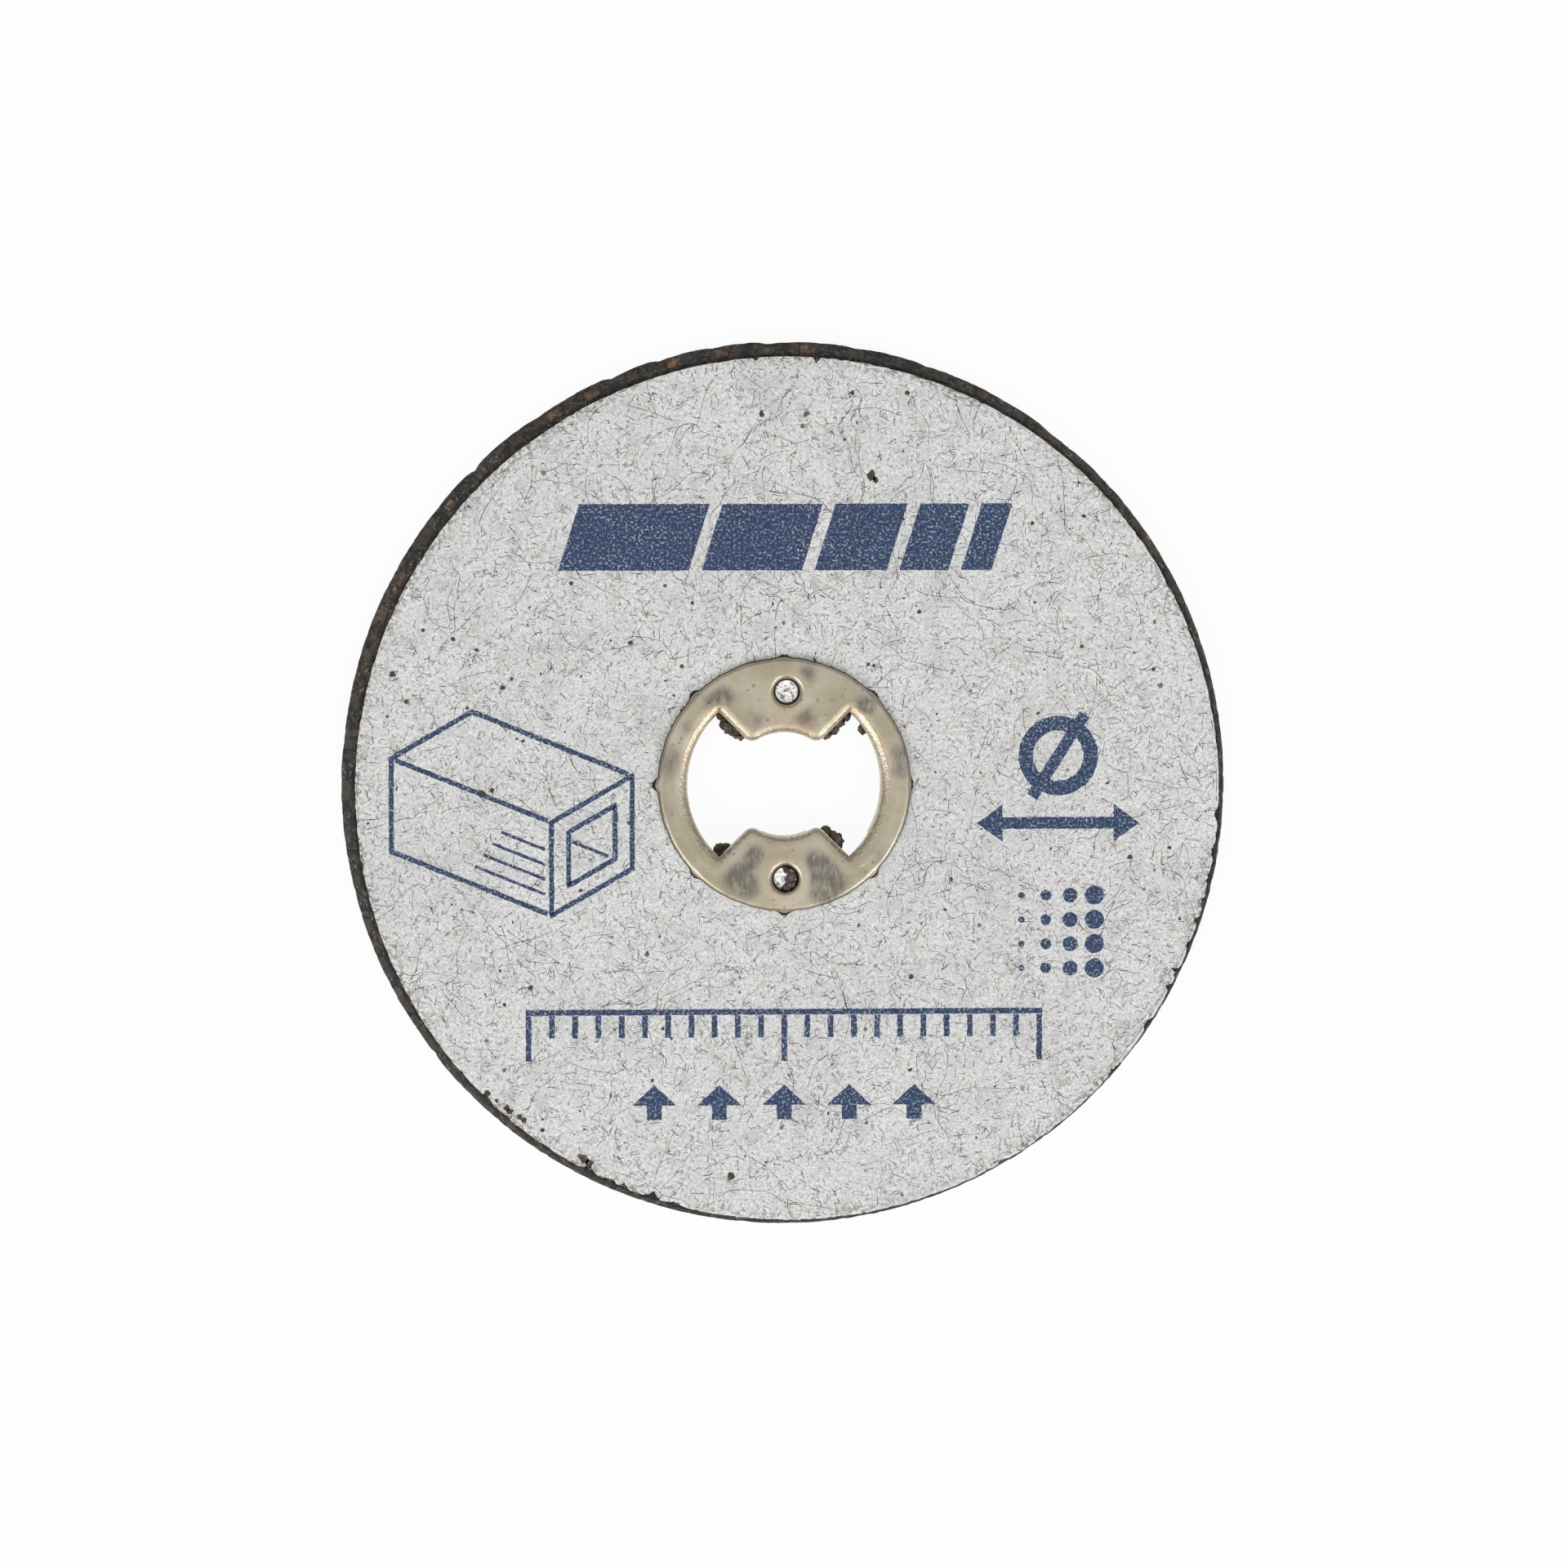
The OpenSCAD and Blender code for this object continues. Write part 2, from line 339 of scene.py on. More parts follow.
def grit_finish():
    finish = Finish("grit_and_resin", (0.014, 0.012, 0.01))
    grain = finish.chance(0.16)
    speck = finish.chance(0.1)
    cloud = finish.noise(0.6, 3)
    pits = finish.noise(0.3, 3, 0.8).ramp(0.5, 0.38)
    cracks = finish.cells(0.7, "DISTANCE_TO_EDGE").ramp(0.07, 0.01)
    cracks = cracks * finish.noise(0.9, 1).ramp(0.42, 0.58)
    blots = finish.noise(0.45, 2, 0.5).ramp(0.48, 0.38)
    finish.coat(grain * 0.6 + cloud * 0.4, (0.108, 0.096, 0.081))
    finish.coat((speck > 0.93) * 0.65, (0.27, 0.25, 0.215))
    finish.coat(finish.noise(1.1, 2).ramp(0.48, 0.62) * 0.6, (0.095, 0.066, 0.042))
    finish.coat(blots * 0.75, (0.013, 0.011, 0.01))
    finish.coat(pits * 0.85, (0.006, 0.005, 0.005))
    finish.coat(cracks * 0.85, CRACK_AND_SHADE_BLACK)
    # Painted shade: the top of the rim, just under the paper's edge, is darkened in patches where the paper
    # shades it.
    shade_under_paper = finish.height().ramp(WHEEL_T - 0.26 * MM, WHEEL_T - 0.08 * MM)
    at_rim = finish.away().ramp(0.8 * FACE_R, 0.9 * FACE_R)
    finish.coat(shade_under_paper * at_rim * finish.noise(0.5, 2).ramp(0.4, 0.56) * 0.85, CRACK_AND_SHADE_BLACK)
    # Painted light: grit in the opening, on the crumbs and the wall that lie in shade, is painted lighter.
    in_opening = finish.away().ramp(4.5 * MM, 4.3 * MM)
    finish.coat(in_opening * grain * 0.6, (0.16, 0.125, 0.095))
    return finish.surface(0.62 + 0.3 * cloud, grain * 0.5 + cloud * 0.3 - pits - cracks, 0.03 * MM, IOR=1.5)


GRIT = grit_finish()
disc = finished("abrasive_disc_body", ring_form(disc_loops()), 40, GRIT)
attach(disc, "root")
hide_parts("abrasive_disc")


# Glass mesh at the back: a coarse plain weave of glass yarn soaked in resin. It is the layer that carries
# the wheel, pressed into the back face so that only the crowns of its yarns stand out.
YARN_PITCH = 1.7 * MM
YARN_W = 0.8 * MM
YARN_RISE = 0.016 * MM
MESH_R = 18.1 * MM
MESH_HOLE_R = 5.6 * MM


def settled(piece, modifier):
    """Makes what a modifier gives the plain mesh of its piece, and removes the modifier."""
    depsgraph = bpy.context.evaluated_depsgraph_get()
    made = bpy.data.meshes.new_from_object(piece.evaluated_get(depsgraph), depsgraph=depsgraph)
    piece.modifiers.remove(modifier)
    piece.data = made


class Growth(Nodes):
    """A geometry tree in the making, with its named sizes, and the plain mesh object that it gives."""

    def __init__(self, name, **sizes):
        super().__init__(bpy.data.node_groups.new(name, "GeometryNodeTree"))
        self.name = name
        self.sizes = sizes
        self.tree.interface.new_socket(name="Geometry", in_out="OUTPUT", socket_type="NodeSocketGeometry")
        for size in sizes:
            self.tree.interface.new_socket(name=size, in_out="INPUT", socket_type="NodeSocketFloat")
        self.given = self.node("NodeGroupInput")
        self.place = self.node("GeometryNodeInputPosition")

    def wires(self):
        """The sizes that the tree is given, in their order."""
        return [self.given[size] for size in self.sizes]

    def away(self):
        """Each point's distance from the origin."""
        return self.vector("LENGTH", self.place)["Value"]

    def triple(self, x, y, z):
        return self.node("ShaderNodeCombineXYZ", None, {"X": x, "Y": y, "Z": z})

    def scaled(self, vector, share):
        return self.node("ShaderNodeVectorMath", {"operation": "SCALE"}, {0: vector, "Scale": share})

    def random(self, low, high, seed):
        """A random number for each point."""
        return self.node("FunctionNodeRandomValue", {"data_type": "FLOAT"},
                         {"Min": low, "Max": high, "Seed": seed})[1]

    def spin(self, seed):
        """A random turn about the axis for each point."""
        return self.triple(0.0, 0.0, self.random(0.0, 2 * math.pi, seed))

    def without(self, geometry, selection):
        """The geometry less the points in a selection."""
        return self.node("GeometryNodeDeleteGeometry", {"domain": "POINT"},
                         {"Geometry": geometry, "Selection": selection})

    def strewn(self, radius, number, hole, seed):
        """About that many random points on a flat disc round the origin, none of them in its central hole."""
        flat = self.node("GeometryNodeMeshCircle", {"fill_type": "NGON"}, {"Vertices": 128, "Radius": radius})
        spread = {"Mesh": flat, "Density": number / (math.pi * radius ** 2), "Seed": seed}
        points = self.node("GeometryNodeDistributePointsOnFaces", None, spread)
        return self.without(points, self.away() < hole)

    def planted(self, points, instance, rotation, scale=(1, 1, 1)):
        """A copy of the instance on each point."""
        copies = self.node("GeometryNodeInstanceOnPoints", None, {"Points": points, "Instance": instance,
                                                                  "Rotation": rotation, "Scale": scale})
        return self.node("GeometryNodeRealizeInstances", None, {"Geometry": copies})

    def moved(self, geometry, **where):
        """Moves each point to its Position, or by its Offset."""
        return self.node("GeometryNodeSetPosition", None, {"Geometry": geometry, **where})

    def ruffled(self, geometry, size, reach, detail=1.0):
        """Moves each point by a noise with features of that size, and with that reach along X, Y and Z."""
        field = self.node("ShaderNodeTexNoise", None, {"Scale": 1 / size, "Detail": detail})
        push = self.vector("SUBTRACT", field["Color"], (0.5, 0.5, 0.5))
        return self.moved(geometry, Offset=self.vector("MULTIPLY", push, reach))

    def line_across(self, length):
        """A straight line along X, with its middle at the origin."""
        ends = {"Start": self.triple(length * -0.5, 0.0, 0.0), "End": self.triple(length * 0.5, 0.0, 0.0)}
        return self.node("GeometryNodeCurvePrimitiveLine", None, ends)

    def lifted(self, geometry, x, y, z):
        return self.node("GeometryNodeTransform", None, {"Geometry": geometry, "Translation": (x, y, z)})

    def piece(self, geometry, material):
        """Ends the tree, sets its sizes and turns what it gives into a plain mesh."""
        whole = self.node("GeometryNodeRealizeInstances", None, {"Geometry": geometry})
        clad = self.node("GeometryNodeSetMaterial", None, {"Geometry": whole, "Material": material})
        self.node("NodeGroupOutput", None, {"Geometry": clad})
        carrier = bpy.data.objects.new(self.name, bpy.data.meshes.new(self.name))
        modifier = carrier.modifiers.new(self.name, "NODES")
        modifier.node_group = self.tree
        for item in self.tree.interface.items_tree:
            if item.in_out == "INPUT":
                modifier[item.identifier] = self.sizes[item.name]
        bpy.context.scene.collection.objects.link(carrier)
        settled(carrier, modifier)
        return carrier


def yarn_finish():
    finish = Finish("resin_soaked_yarn", (0.05, 0.032, 0.018))
    along = finish.node("ShaderNodeAttribute", {"attribute_name": "yarn_run"})["Vector"]
    strands = finish.noise(0.05, 2, 0, finish.vector("MULTIPLY", along, (0.08, 1, 1)))
    cloud = finish.noise(0.9, 3)
    finish.coat(strands, (0.15, 0.092, 0.045))
    finish.coat(finish.noise(0.35, 3).ramp(0.4, 0.62) * 0.8, (0.035, 0.03, 0.026))
    return finish.surface(0.4 + 0.4 * cloud, strands, 0.02 * MM, IOR=1.5)


def back_mesh():
    """Crossings of two yarns on a square grid, every other one turned so that the yarns go over and under."""
    growth = Growth("back_glass_mesh", Pitch=YARN_PITCH, Width=YARN_W, Rise=YARN_RISE)
    pitch, width, rise = growth.wires()
    across = growth.parts(growth.place)
    strip = growth.node("GeometryNodeMeshGrid", None,
                        {"Size X": pitch, "Size Y": width, "Vertices X": 9, "Vertices Y": 6})
    strip = growth.node("GeometryNodeStoreNamedAttribute", {"data_type": "FLOAT_VECTOR"},
                        {"Geometry": strip, "Name": "yarn_run", "Value": growth.place})
    wave = (across["X"] / pitch * math.pi).math("COSINE")
    edge = across["Y"] / width * 2
    tiles = []
    for turn, sign in ((0, -1), (math.pi / 2, 1)):
        depth = wave * rise * sign + edge * edge * rise * 2
        bent = growth.moved(strip, Offset=growth.triple(0.0, 0.0, depth))
        tiles.append(growth.node("GeometryNodeTransform", None, {"Geometry": bent, "Rotation": (0, 0, turn)}))
    tile = growth.node("GeometryNodeJoinGeometry", None, {"Geometry": tiles[0]})
    growth.tree.links.new(tiles[1].socket, tile.socket.node.inputs["Geometry"])
    tile = growth.node("GeometryNodeFlipFaces", None, {"Mesh": tile})
    rows = 2 * int(MESH_R / YARN_PITCH) + 1
    span = pitch * (rows - 1)
    grid = growth.node("GeometryNodeMeshGrid", None,
                       {"Size X": span, "Size Y": span, "Vertices X": rows, "Vertices Y": rows})
    away = growth.away()
    crossings = growth.without(grid, (away > MESH_R).math("MAXIMUM", away < MESH_HOLE_R))
    row = (across["X"] + across["Y"]) / pitch
    odd = (row + 0.5).math("FLOORED_MODULO", 2.0) > 1
    woven = growth.planted(crossings, tile, growth.triple(0.0, 0.0, odd * (math.pi / 2)))
    return growth.piece(growth.lifted(woven, 0, 0, 1.2 * YARN_RISE), yarn_finish())


glass_mesh = back_mesh()
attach(glass_mesh, "root")


# Yarn ends in the rim: the cut ends of a layer of glass mesh, which lie flush in the middle of the leaning
# rim. They are bare and amber mostly at the upper left, and dark with resin elsewhere.
END_COUNT, END_SLIP = 62, 0.008
END_L, END_W, END_THIN = 0.66 * MM, 0.7 * MM, 0.34
END_DROP, END_SEAT = 0.43 * MM, 0.05 * MM
END_PROUD, END_CLEAR = 0.018 * MM, 0.01 * MM
FRAY_SIZE, FRAY = 0.2 * MM, 0.22 * MM
BARE_TURN = math.radians(119)
# Each place on the rim: x, y and radius in mm, and how much barer the ends are there, or less bare.
BARE_SPOTS = ((16.1, 10.3, 1.5, 1.3), (9.3, 16.5, 1.2, 0.5), (0.7, 18.9, 1.2, 0.6), (3.2, 18.5, 1.3, -0.8),
              (-6.4, 17.5, 1.3, -0.9), (-11.4, 14.7, 1.4, -1.2), (-13.1, 13.3, 1.3, -0.6),
              (-15.4, 10.6, 1.5, -0.9))


def yarn_end_finish():
    finish = Finish("cut_glass_yarn", (0.05, 0.032, 0.018))
    round_rim = finish.vector("NORMALIZE", finish.vector("MULTIPLY", finish.place, (1, 1, 0)))
    strands = finish.noise(0.09 / WHEEL_R, 2, 0, round_rim)
    cloud = finish.noise(0.3, 3)
    finish.coat(strands.ramp(0.3, 0.62), (0.33, 0.182, 0.072))
    finish.coat(finish.noise(1.9, 1).ramp(0.46, 0.6) * 0.6, (0.09, 0.06, 0.04))
    barest = (math.cos(BARE_TURN), math.sin(BARE_TURN), 0)
    bare = finish.vector("DOT_PRODUCT", round_rim, barest)["Value"].ramp(0.66, 0.9)
    bare = (bare + finish.spots(BARE_SPOTS)).math("MINIMUM", 1.0)
    finish.coat(1 - bare, (0.05, 0.042, 0.035))
    finish.coat(cloud.ramp(0.48, 0.6) * 0.8, (0.022, 0.018, 0.015))
    # Painted shade: the ends just under the paper's edge are darkened where the paper shades them.
    shade_under_paper = finish.height().ramp(WHEEL_T - 0.34 * MM, WHEEL_T - 0.16 * MM)
    finish.coat(shade_under_paper * 0.8, (0.01, 0.008, 0.007))
    return finish.surface(0.5 + 0.3 * cloud, strands, 0.02 * MM, IOR=1.5)


def rim_ends():
    growth = Growth("rim_yarn_ends", Radius=FACE_R, Length=END_L, Width=END_W, Drop=END_DROP)
    radius, length, width, drop = growth.wires()
    ring = growth.node("GeometryNodeMeshCircle", None, {"Vertices": END_COUNT, "Radius": radius})
    flat = growth.parts(growth.place)
    turn = flat["Y"].math("ARCTAN2", flat["X"]) + growth.random(-END_SLIP, END_SLIP, 3)
    low = drop * growth.random(0.8, 1.25, 4)
    away = radius + low * RIM_SLOPE - END_SEAT
    seat = growth.triple(turn.math("COSINE") * away, turn.math("SINE") * away, WHEEL_T - low)
    ring = growth.moved(ring, Position=seat)
    tuft = growth.node("GeometryNodeMeshCube", None, {"Vertices X": 4, "Vertices Y": 9, "Vertices Z": 9})
    size = growth.scaled(growth.triple(width * END_THIN, length, width), growth.random(0.65, 1.15, 5))
    ends = growth.planted(ring, tuft, growth.triple(0.0, -math.atan(RIM_SLOPE), turn), size)
    ends = growth.ruffled(ends, FRAY_SIZE, (FRAY, FRAY, FRAY), 3.0)
    return growth.piece(growth.lifted(ends, *FACE_SHIFT, 0), yarn_end_finish())


yarn_ends = rim_ends()
rim = BVHTree.FromPolygons([v.co for v in disc.data.vertices], [p.vertices for p in disc.data.polygons])
for vert in yarn_ends.data.vertices:
    foot, outwards, _, _ = rim.find_nearest(vert.co)
    if (vert.co - foot).dot(outwards) > END_PROUD:
        vert.co = foot + outwards * END_PROUD
    too_far = vert.co.xy.length / (WHEEL_R - END_CLEAR)
    if too_far > 1:
        vert.co.xy /= too_far
smoothed(yarn_ends.data, 60)
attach(yarn_ends, "root")


# Crumbs in the opening: ragged lumps of grit and resin left on the disc's wall where the hub was pressed
# in, along the straight sides of the opening.
CRUMB_GRAIN = 0.24 * MM
CRUMB_Z = 0.55 * WHEEL_T
CRUMB_ROUGH = 0.42
# Each crumb: the sides of X and Y that it is on, its place from lobe to wing, and its radius in mm. The
# lone one, in a wing's corner, has x, y and radius in mm.
CRUMBS = (
    (-1, 1, 0.2, 0.3), (-1, 1, 0.4, 0.36), (-1, 1, 0.62, 0.34), (-1, 1, 0.86, 0.2),
    (1, 1, 0.12, 0.2), (1, 1, 0.38, 0.24), (1, 1, 0.62, 0.26), (1, 1, 0.86, 0.24),
    (-1, -1, 0.88, 0.34), (-1, -1, 0.7, 0.2),
    (1, -1, 0.08, 0.24), (1, -1, 0.3, 0.3), (1, -1, 0.5, 0.34),
)
LONE_CRUMB = (3.48, 2.4, 0.27)


def strew_lump(form, seat, radius, grain, flat):
    """A ragged lump of grit round a place, flattened by a share of its height."""
    ball = bmesh.ops.create_icosphere(form, subdivisions=4, radius=radius)
    for vert in ball["verts"]:
        ragged = noise.fractal((seat + vert.co) / grain, 0.9, 2.0, 3)
        vert.co = vert.co * (1 + CRUMB_ROUGH * ragged)
        vert.co.z *= flat
        vert.co += seat


def crumb_form():
    form = bmesh.new()
    seats = []
    for side_x, side_y, share, radius in CRUMBS:
        flat = (LOBE_U + share * (APEX_U - LOBE_U)) * ALONG_SIDE + 0.8 * SIDE_OFFSET * ACROSS_SIDE
        seats.append((flat[0] * side_x, flat[1] * side_y, radius * MM))
    seats.append(tuple(v * MM for v in LONE_CRUMB))
    for x, y, radius in seats:
        strew_lump(form, Vector((x, y, CRUMB_Z)), radius, CRUMB_GRAIN, 1.0)
    return form


crumbs = finished("opening_crumbs", crumb_form(), 60, GRIT)
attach(crumbs, "root")


# Face paper: a printed sheet of grey pulp paper, moulded onto the front of the disc under heat. Its edge
# is nibbled where the rim was cut, and bitten most at the lower right and the lower left.
PAPER_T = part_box("face_paper")[1].z - WHEEL_T
PAPER_TOP = WHEEL_T + PAPER_T
PAPER_TRIM = 0.03 * MM
OVERHANG, OVERHANG_TURN = 0.085 * MM, math.radians(-50)
PAPER_RELIEF, RELIEF_SIZE = 0.004 * MM, 0.7 * MM
EDGE_NIBBLE, EDGE_ROUND = 0.09 * MM, 0.015 * MM
NIBBLE_SIZE, FRAY_FINE = 0.4 * MM, 0.13 * MM
# Each bite in the edge: its place in degrees, its depth in mm and its width in degrees.
BITES = ((-25.4, 0.28, 0.5), (-27.6, 0.18, 0.4), (-33.2, 0.2, 0.6), (-18, 0.15, 0.5), (-41, 0.12, 0.8),
         (-3.5, 0.12, 0.9), (-8.4, 0.14, 0.8), (-12.2, 0.12, 1.1), (-15.4, 0.16, 0.5), (-21.6, 0.14, 0.7),
         (242.5, 0.3, 0.7), (245.5, 0.16, 0.9), (247.6, 0.2, 0.5), (251.6, 0.2, 0.9), (225.6, 0.14, 0.8),
         (254.6, 0.12, 1.2), (86.2, 0.16, 0.4), (94.3, 0.14, 0.3), (300, 0.08, 0.9), (326.4, 0.2, 0.5))
# Scuffs of the sheet, and the paper that shows in the hub's holes: x, y and radius in mm, and a weight.
SCUFFS = ((-12.3, -13.7, 0.9, 0.8), (-8.6, -16.4, 0.8, 1), (-6.2, -17.5, 0.9, 0.8), (-2.4, -17.2, 0.6, 1),
          (14.5, -11.0, 0.8, 0.8), (17.2, -5.4, 1.0, 0.8), (-10.2, 14.6, 0.9, 0.6), (13.9, 11.3, 0.7, 0.6),
          (16.4, -8.2, 0.8, 0.8))
IN_HOLES = ((0.1, 4, 0.9, 1.6), (0, -4, 0.9, 1.6))


def paper_loops():
    outline, into = opening_outline(22)
    turns, ways = round_axis(len(outline))
    spread = FACE_R - PAPER_TRIM + OVERHANG * np.clip(np.cos(turns - OVERHANG_TURN), 0, 1) ** 2
    edge = FACE_SHIFT + ways * spread[:, None]
    coarse = np.clip(lumps(raised(edge, 0), NIBBLE_SIZE, 5) - 0.4, 0, 1)
    ragged = lumps(raised(edge, 0), FRAY_FINE, 6)
    nibble = EDGE_NIBBLE * coarse * (0.4 + 1.2 * ragged)
    for place, depth, width in BITES:
        past = degrees_past(turns, place)
        nibble = np.maximum(nibble, depth * MM * (0.1 + 1.8 * ragged) * np.exp(-(past / width) ** 2))
    edge = edge - ways * nibble[:, None]
    inner = outline + into * (SHEET_T + TAB_GAP)
    loops = [raised(inner, WHEEL_T), raised(inner, PAPER_TOP)]
    for share in (*np.linspace(0.06, 0.94, 26), 0.97, 0.985, 0.995):
        loop = raised(inner * (1 - share) + edge * share, PAPER_TOP)
        loop[:, 2] += PAPER_RELIEF * (lumps(loop, RELIEF_SIZE, 7) - 0.5)
        loops.append(loop)
    loops.append(raised(edge, PAPER_TOP - EDGE_ROUND))
    loops.append(raised(edge, WHEEL_T))
    return loops


def paper_finish():
    finish = Finish("pulp_paper", (0.43, 0.431, 0.428))
    pulp = finish.noise(0.15, 2)
    grain = 0.4 * pulp + 0.6 * finish.noise(0.06, 2)
    finish.coat(grain.ramp(0.3, 0.7), (0.885, 0.888, 0.884))
    finish.coat(finish.noise(0.8, 3).ramp(0.48, 0.7) * 0.35, (0.42, 0.42, 0.41))
    finish.coat(finish.noise(3.5, 2).ramp(0.4, 0.65) * 0.16, (0.44, 0.45, 0.46))
    fleck = (finish.chance(0.1) > 0.935) * finish.noise(1.3, 2).ramp(0.36, 0.62)
    finish.coat(fleck * 0.5, (0.17, 0.145, 0.12))
    finish.coat((finish.chance(0.14) > 0.985) * 0.35, (0.5, 0.4, 0.25))
    finish.coat((finish.chance(0.08) > 0.94) * 0.5, (0.9, 0.9, 0.89))
    finish.coat(finish.spots(SCUFFS) * finish.noise(0.22, 3).ramp(0.5, 0.62) * 0.7, (0.16, 0.15, 0.14))
    at_edge = finish.away(FACE_SHIFT).ramp(FACE_R - 0.6 * MM, FACE_R)
    grime = at_edge * finish.noise(0.2, 3).ramp(0.48, 0.58) * finish.noise(4, 1).ramp(0.36, 0.56)
    finish.coat(grime * 0.75, (0.13, 0.105, 0.08))
    # The paper in the hub's holes is crumpled: painted shade darkens its creases and painted glints brighten
    # its folds.
    creased = finish.spots(IN_HOLES).ramp(0, 0.5)
    crease = finish.noise(0.2, 3, 1.0)
    finish.coat(creased * crease.ramp(0.46, 0.36) * 0.85, (0.14, 0.14, 0.135))
    finish.coat(creased * crease.ramp(0.47, 0.56), (1, 1, 0.99))
    roughness = 0.5 + 0.3 * pulp - 0.25 * creased
    return finish.surface(roughness, grain + creased * crease * 2, 0.012 * MM, IOR=1.45)


paper = finished("face_paper_sheet", ring_form(paper_loops()), 50, paper_finish())
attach(paper, "root")
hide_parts("face_paper")


# Fibres, specks and pits in the paper: dark hairs and bark specks of recycled pulp that lie in the sheet's
# surface, and small holes where it didn't take to the grit below.
FIBRE_Z, SPECK_Z, PIT_Z = (PAPER_TOP + rise * MM for rise in (0.004, 0.006, 0.012))
FIBRE_CLEAR, SPECK_CLEAR = 0.1 * MM, 0.3 * MM
SPECK_COUNT, SPECK_R, SPECK_WAVE = 900, 0.11 * MM, 0.1 * MM
FLANGE_R = 5.45 * MM
PIT_CORNERS, PIT_ROUGH, PIT_WAVES, PIT_APART = 26, 0.55, 1.6, 4.7
# Each pit: x, y and radius in mm.
PITS = ((3.76, 13.25, 0.2), (3.9, 13.05, 0.13), (-13.0, -0.35, 0.15), (-12.55, -0.2, 0.1),
        (-0.98, 15.9, 0.12), (0.95, 15.9, 0.12), (2.92, 16.8, 0.1), (5.27, 16.8, 0.1), (-16.8, 4.8, 0.13),
        (-10.3, 13.4, 0.1), (-12.1, 4.2, 0.12), (-16.2, 3.6, 0.1), (3.6, 5.15, 0.07), (3.85, 5.1, 0.07),
        (8.4, -6.1, 0.09), (-5.9, -7.3, 0.1), (12.8, 5.9, 0.09), (14.9, -3.2, 0.1), (-14.2, 6.3, 0.1),
        (5.8, 7.4, 0.1), (-6.6, 6.1, 0.09), (-2.3, -16.9, 0.16), (9.7, 11.9, 0.08), (-10.9, -8.7, 0.1),
        (-12.76, -13.26, 0.13), (-12.38, -13.57, 0.08), (-11.95, -13.9, 0.12), (-11.8, -14.05, 0.13),
        (-11.4, -14.3, 0.11), (-11.2, -14.42, 0.11), (-10.41, -14.86, 0.1), (-8.8, -16.0, 0.11),
        (-8.62, -16.15, 0.18), (-8.42, -16.28, 0.16), (-12.8, -11.0, 0.08), (8.3, 9.5, 0.06),
        (15.9, 4.9, 0.09), (16.2, 4.2, 0.1), (-4.4, 5.1, 0.08))


def fibre_finish(name, dark, pale):
    finish = Finish(name, dark)
    faded = finish.noise(0.6, 2)
    finish.coat(faded.ramp(0.34, 0.66), pale)
    return finish.surface(0.6 + 0.3 * faded, faded, 0.004 * MM, IOR=1.45)


def speck_finish():
    finish = Finish("bark_specks", (0.018, 0.014, 0.011))
    cloud = finish.noise(0.08, 2)
    finish.coat(cloud, (0.085, 0.072, 0.06))
    finish.coat(finish.noise(1.1, 2).ramp(0.5, 0.64) * 0.5, (0.3, 0.28, 0.26))
    return finish.surface(0.6 + 0.3 * cloud, cloud, 0.01 * MM, IOR=1.45)


def fibres(name, material, count, joints, seed, **sizes):
    """Curled hairs strewn over the face, each a flat ribbon, and none of them past the paper's edge."""
    growth = Growth(name, Radius=FACE_R, **sizes)
    radius, length, width, curl, bend = growth.wires()
    points = growth.strewn(radius, count, FLANGE_R, seed)
    hair = growth.node("GeometryNodeResampleCurve", None,
                       {"Curve": growth.line_across(length), "Count": joints})
    size = growth.random(0.0, 1.0, seed + 2) ** 2 * 0.8 + 0.2
    hairs = growth.planted(points, hair, growth.spin(seed + 1), growth.triple(size, size, size))
    hairs = growth.ruffled(hairs, curl, growth.triple(bend, bend, 0.0))
    kept = ((radius - FIBRE_CLEAR) / growth.away()).math("MINIMUM", 1.0)
    hairs = growth.moved(hairs, Position=growth.scaled(growth.place, kept))
    hairs = growth.node("GeometryNodeSetCurveNormal", {"mode": "Z_UP"}, {"Curve": hairs})
    hairs = growth.node("GeometryNodeCurveToMesh", None,
                        {"Curve": hairs, "Profile Curve": growth.line_across(width)})
    return growth.piece(growth.lifted(hairs, *FACE_SHIFT, FIBRE_Z), material)


def specks(material):
    growth = Growth("paper_specks", Radius=FACE_R, Size=SPECK_R)
    radius, largest = growth.wires()
    points = growth.strewn(radius - SPECK_CLEAR, SPECK_COUNT, FLANGE_R, 21)
    chip = growth.node("GeometryNodeMeshCircle", {"fill_type": "NGON"}, {"Vertices": 9, "Radius": largest})
    size = growth.random(0.0, 1.0, 22) ** 8 * 0.78 + 0.22
    shape = growth.triple(size, size * growth.random(0.4, 1.0, 24), size)
    flecks = growth.planted(points, chip, growth.spin(23), shape)
    flecks = growth.ruffled(flecks, SPECK_WAVE, (SPECK_WAVE, SPECK_WAVE, 0))
    return growth.piece(growth.lifted(flecks, *FACE_SHIFT, SPECK_Z), material)


def pit_form():
    """Flat ragged blots on the face, each a fan of triangles."""
    form = bmesh.new()
    for i, (x, y, radius) in enumerate(PITS):
        centre = np.array((x, y)) * MM
        middle = form.verts.new((*centre, PIT_Z))
        rim = []
        for way in round_axis(PIT_CORNERS)[1]:
            ragged = noise.noise(Vector((*way * PIT_WAVES, i * PIT_APART)))
            rim.append(form.verts.new((*centre + radius * MM * (1 + PIT_ROUGH * ragged) * way, PIT_Z)))
        for k in range(PIT_CORNERS):
            form.faces.new((middle, rim[k], rim[(k + 1) % PIT_CORNERS]))
    return form


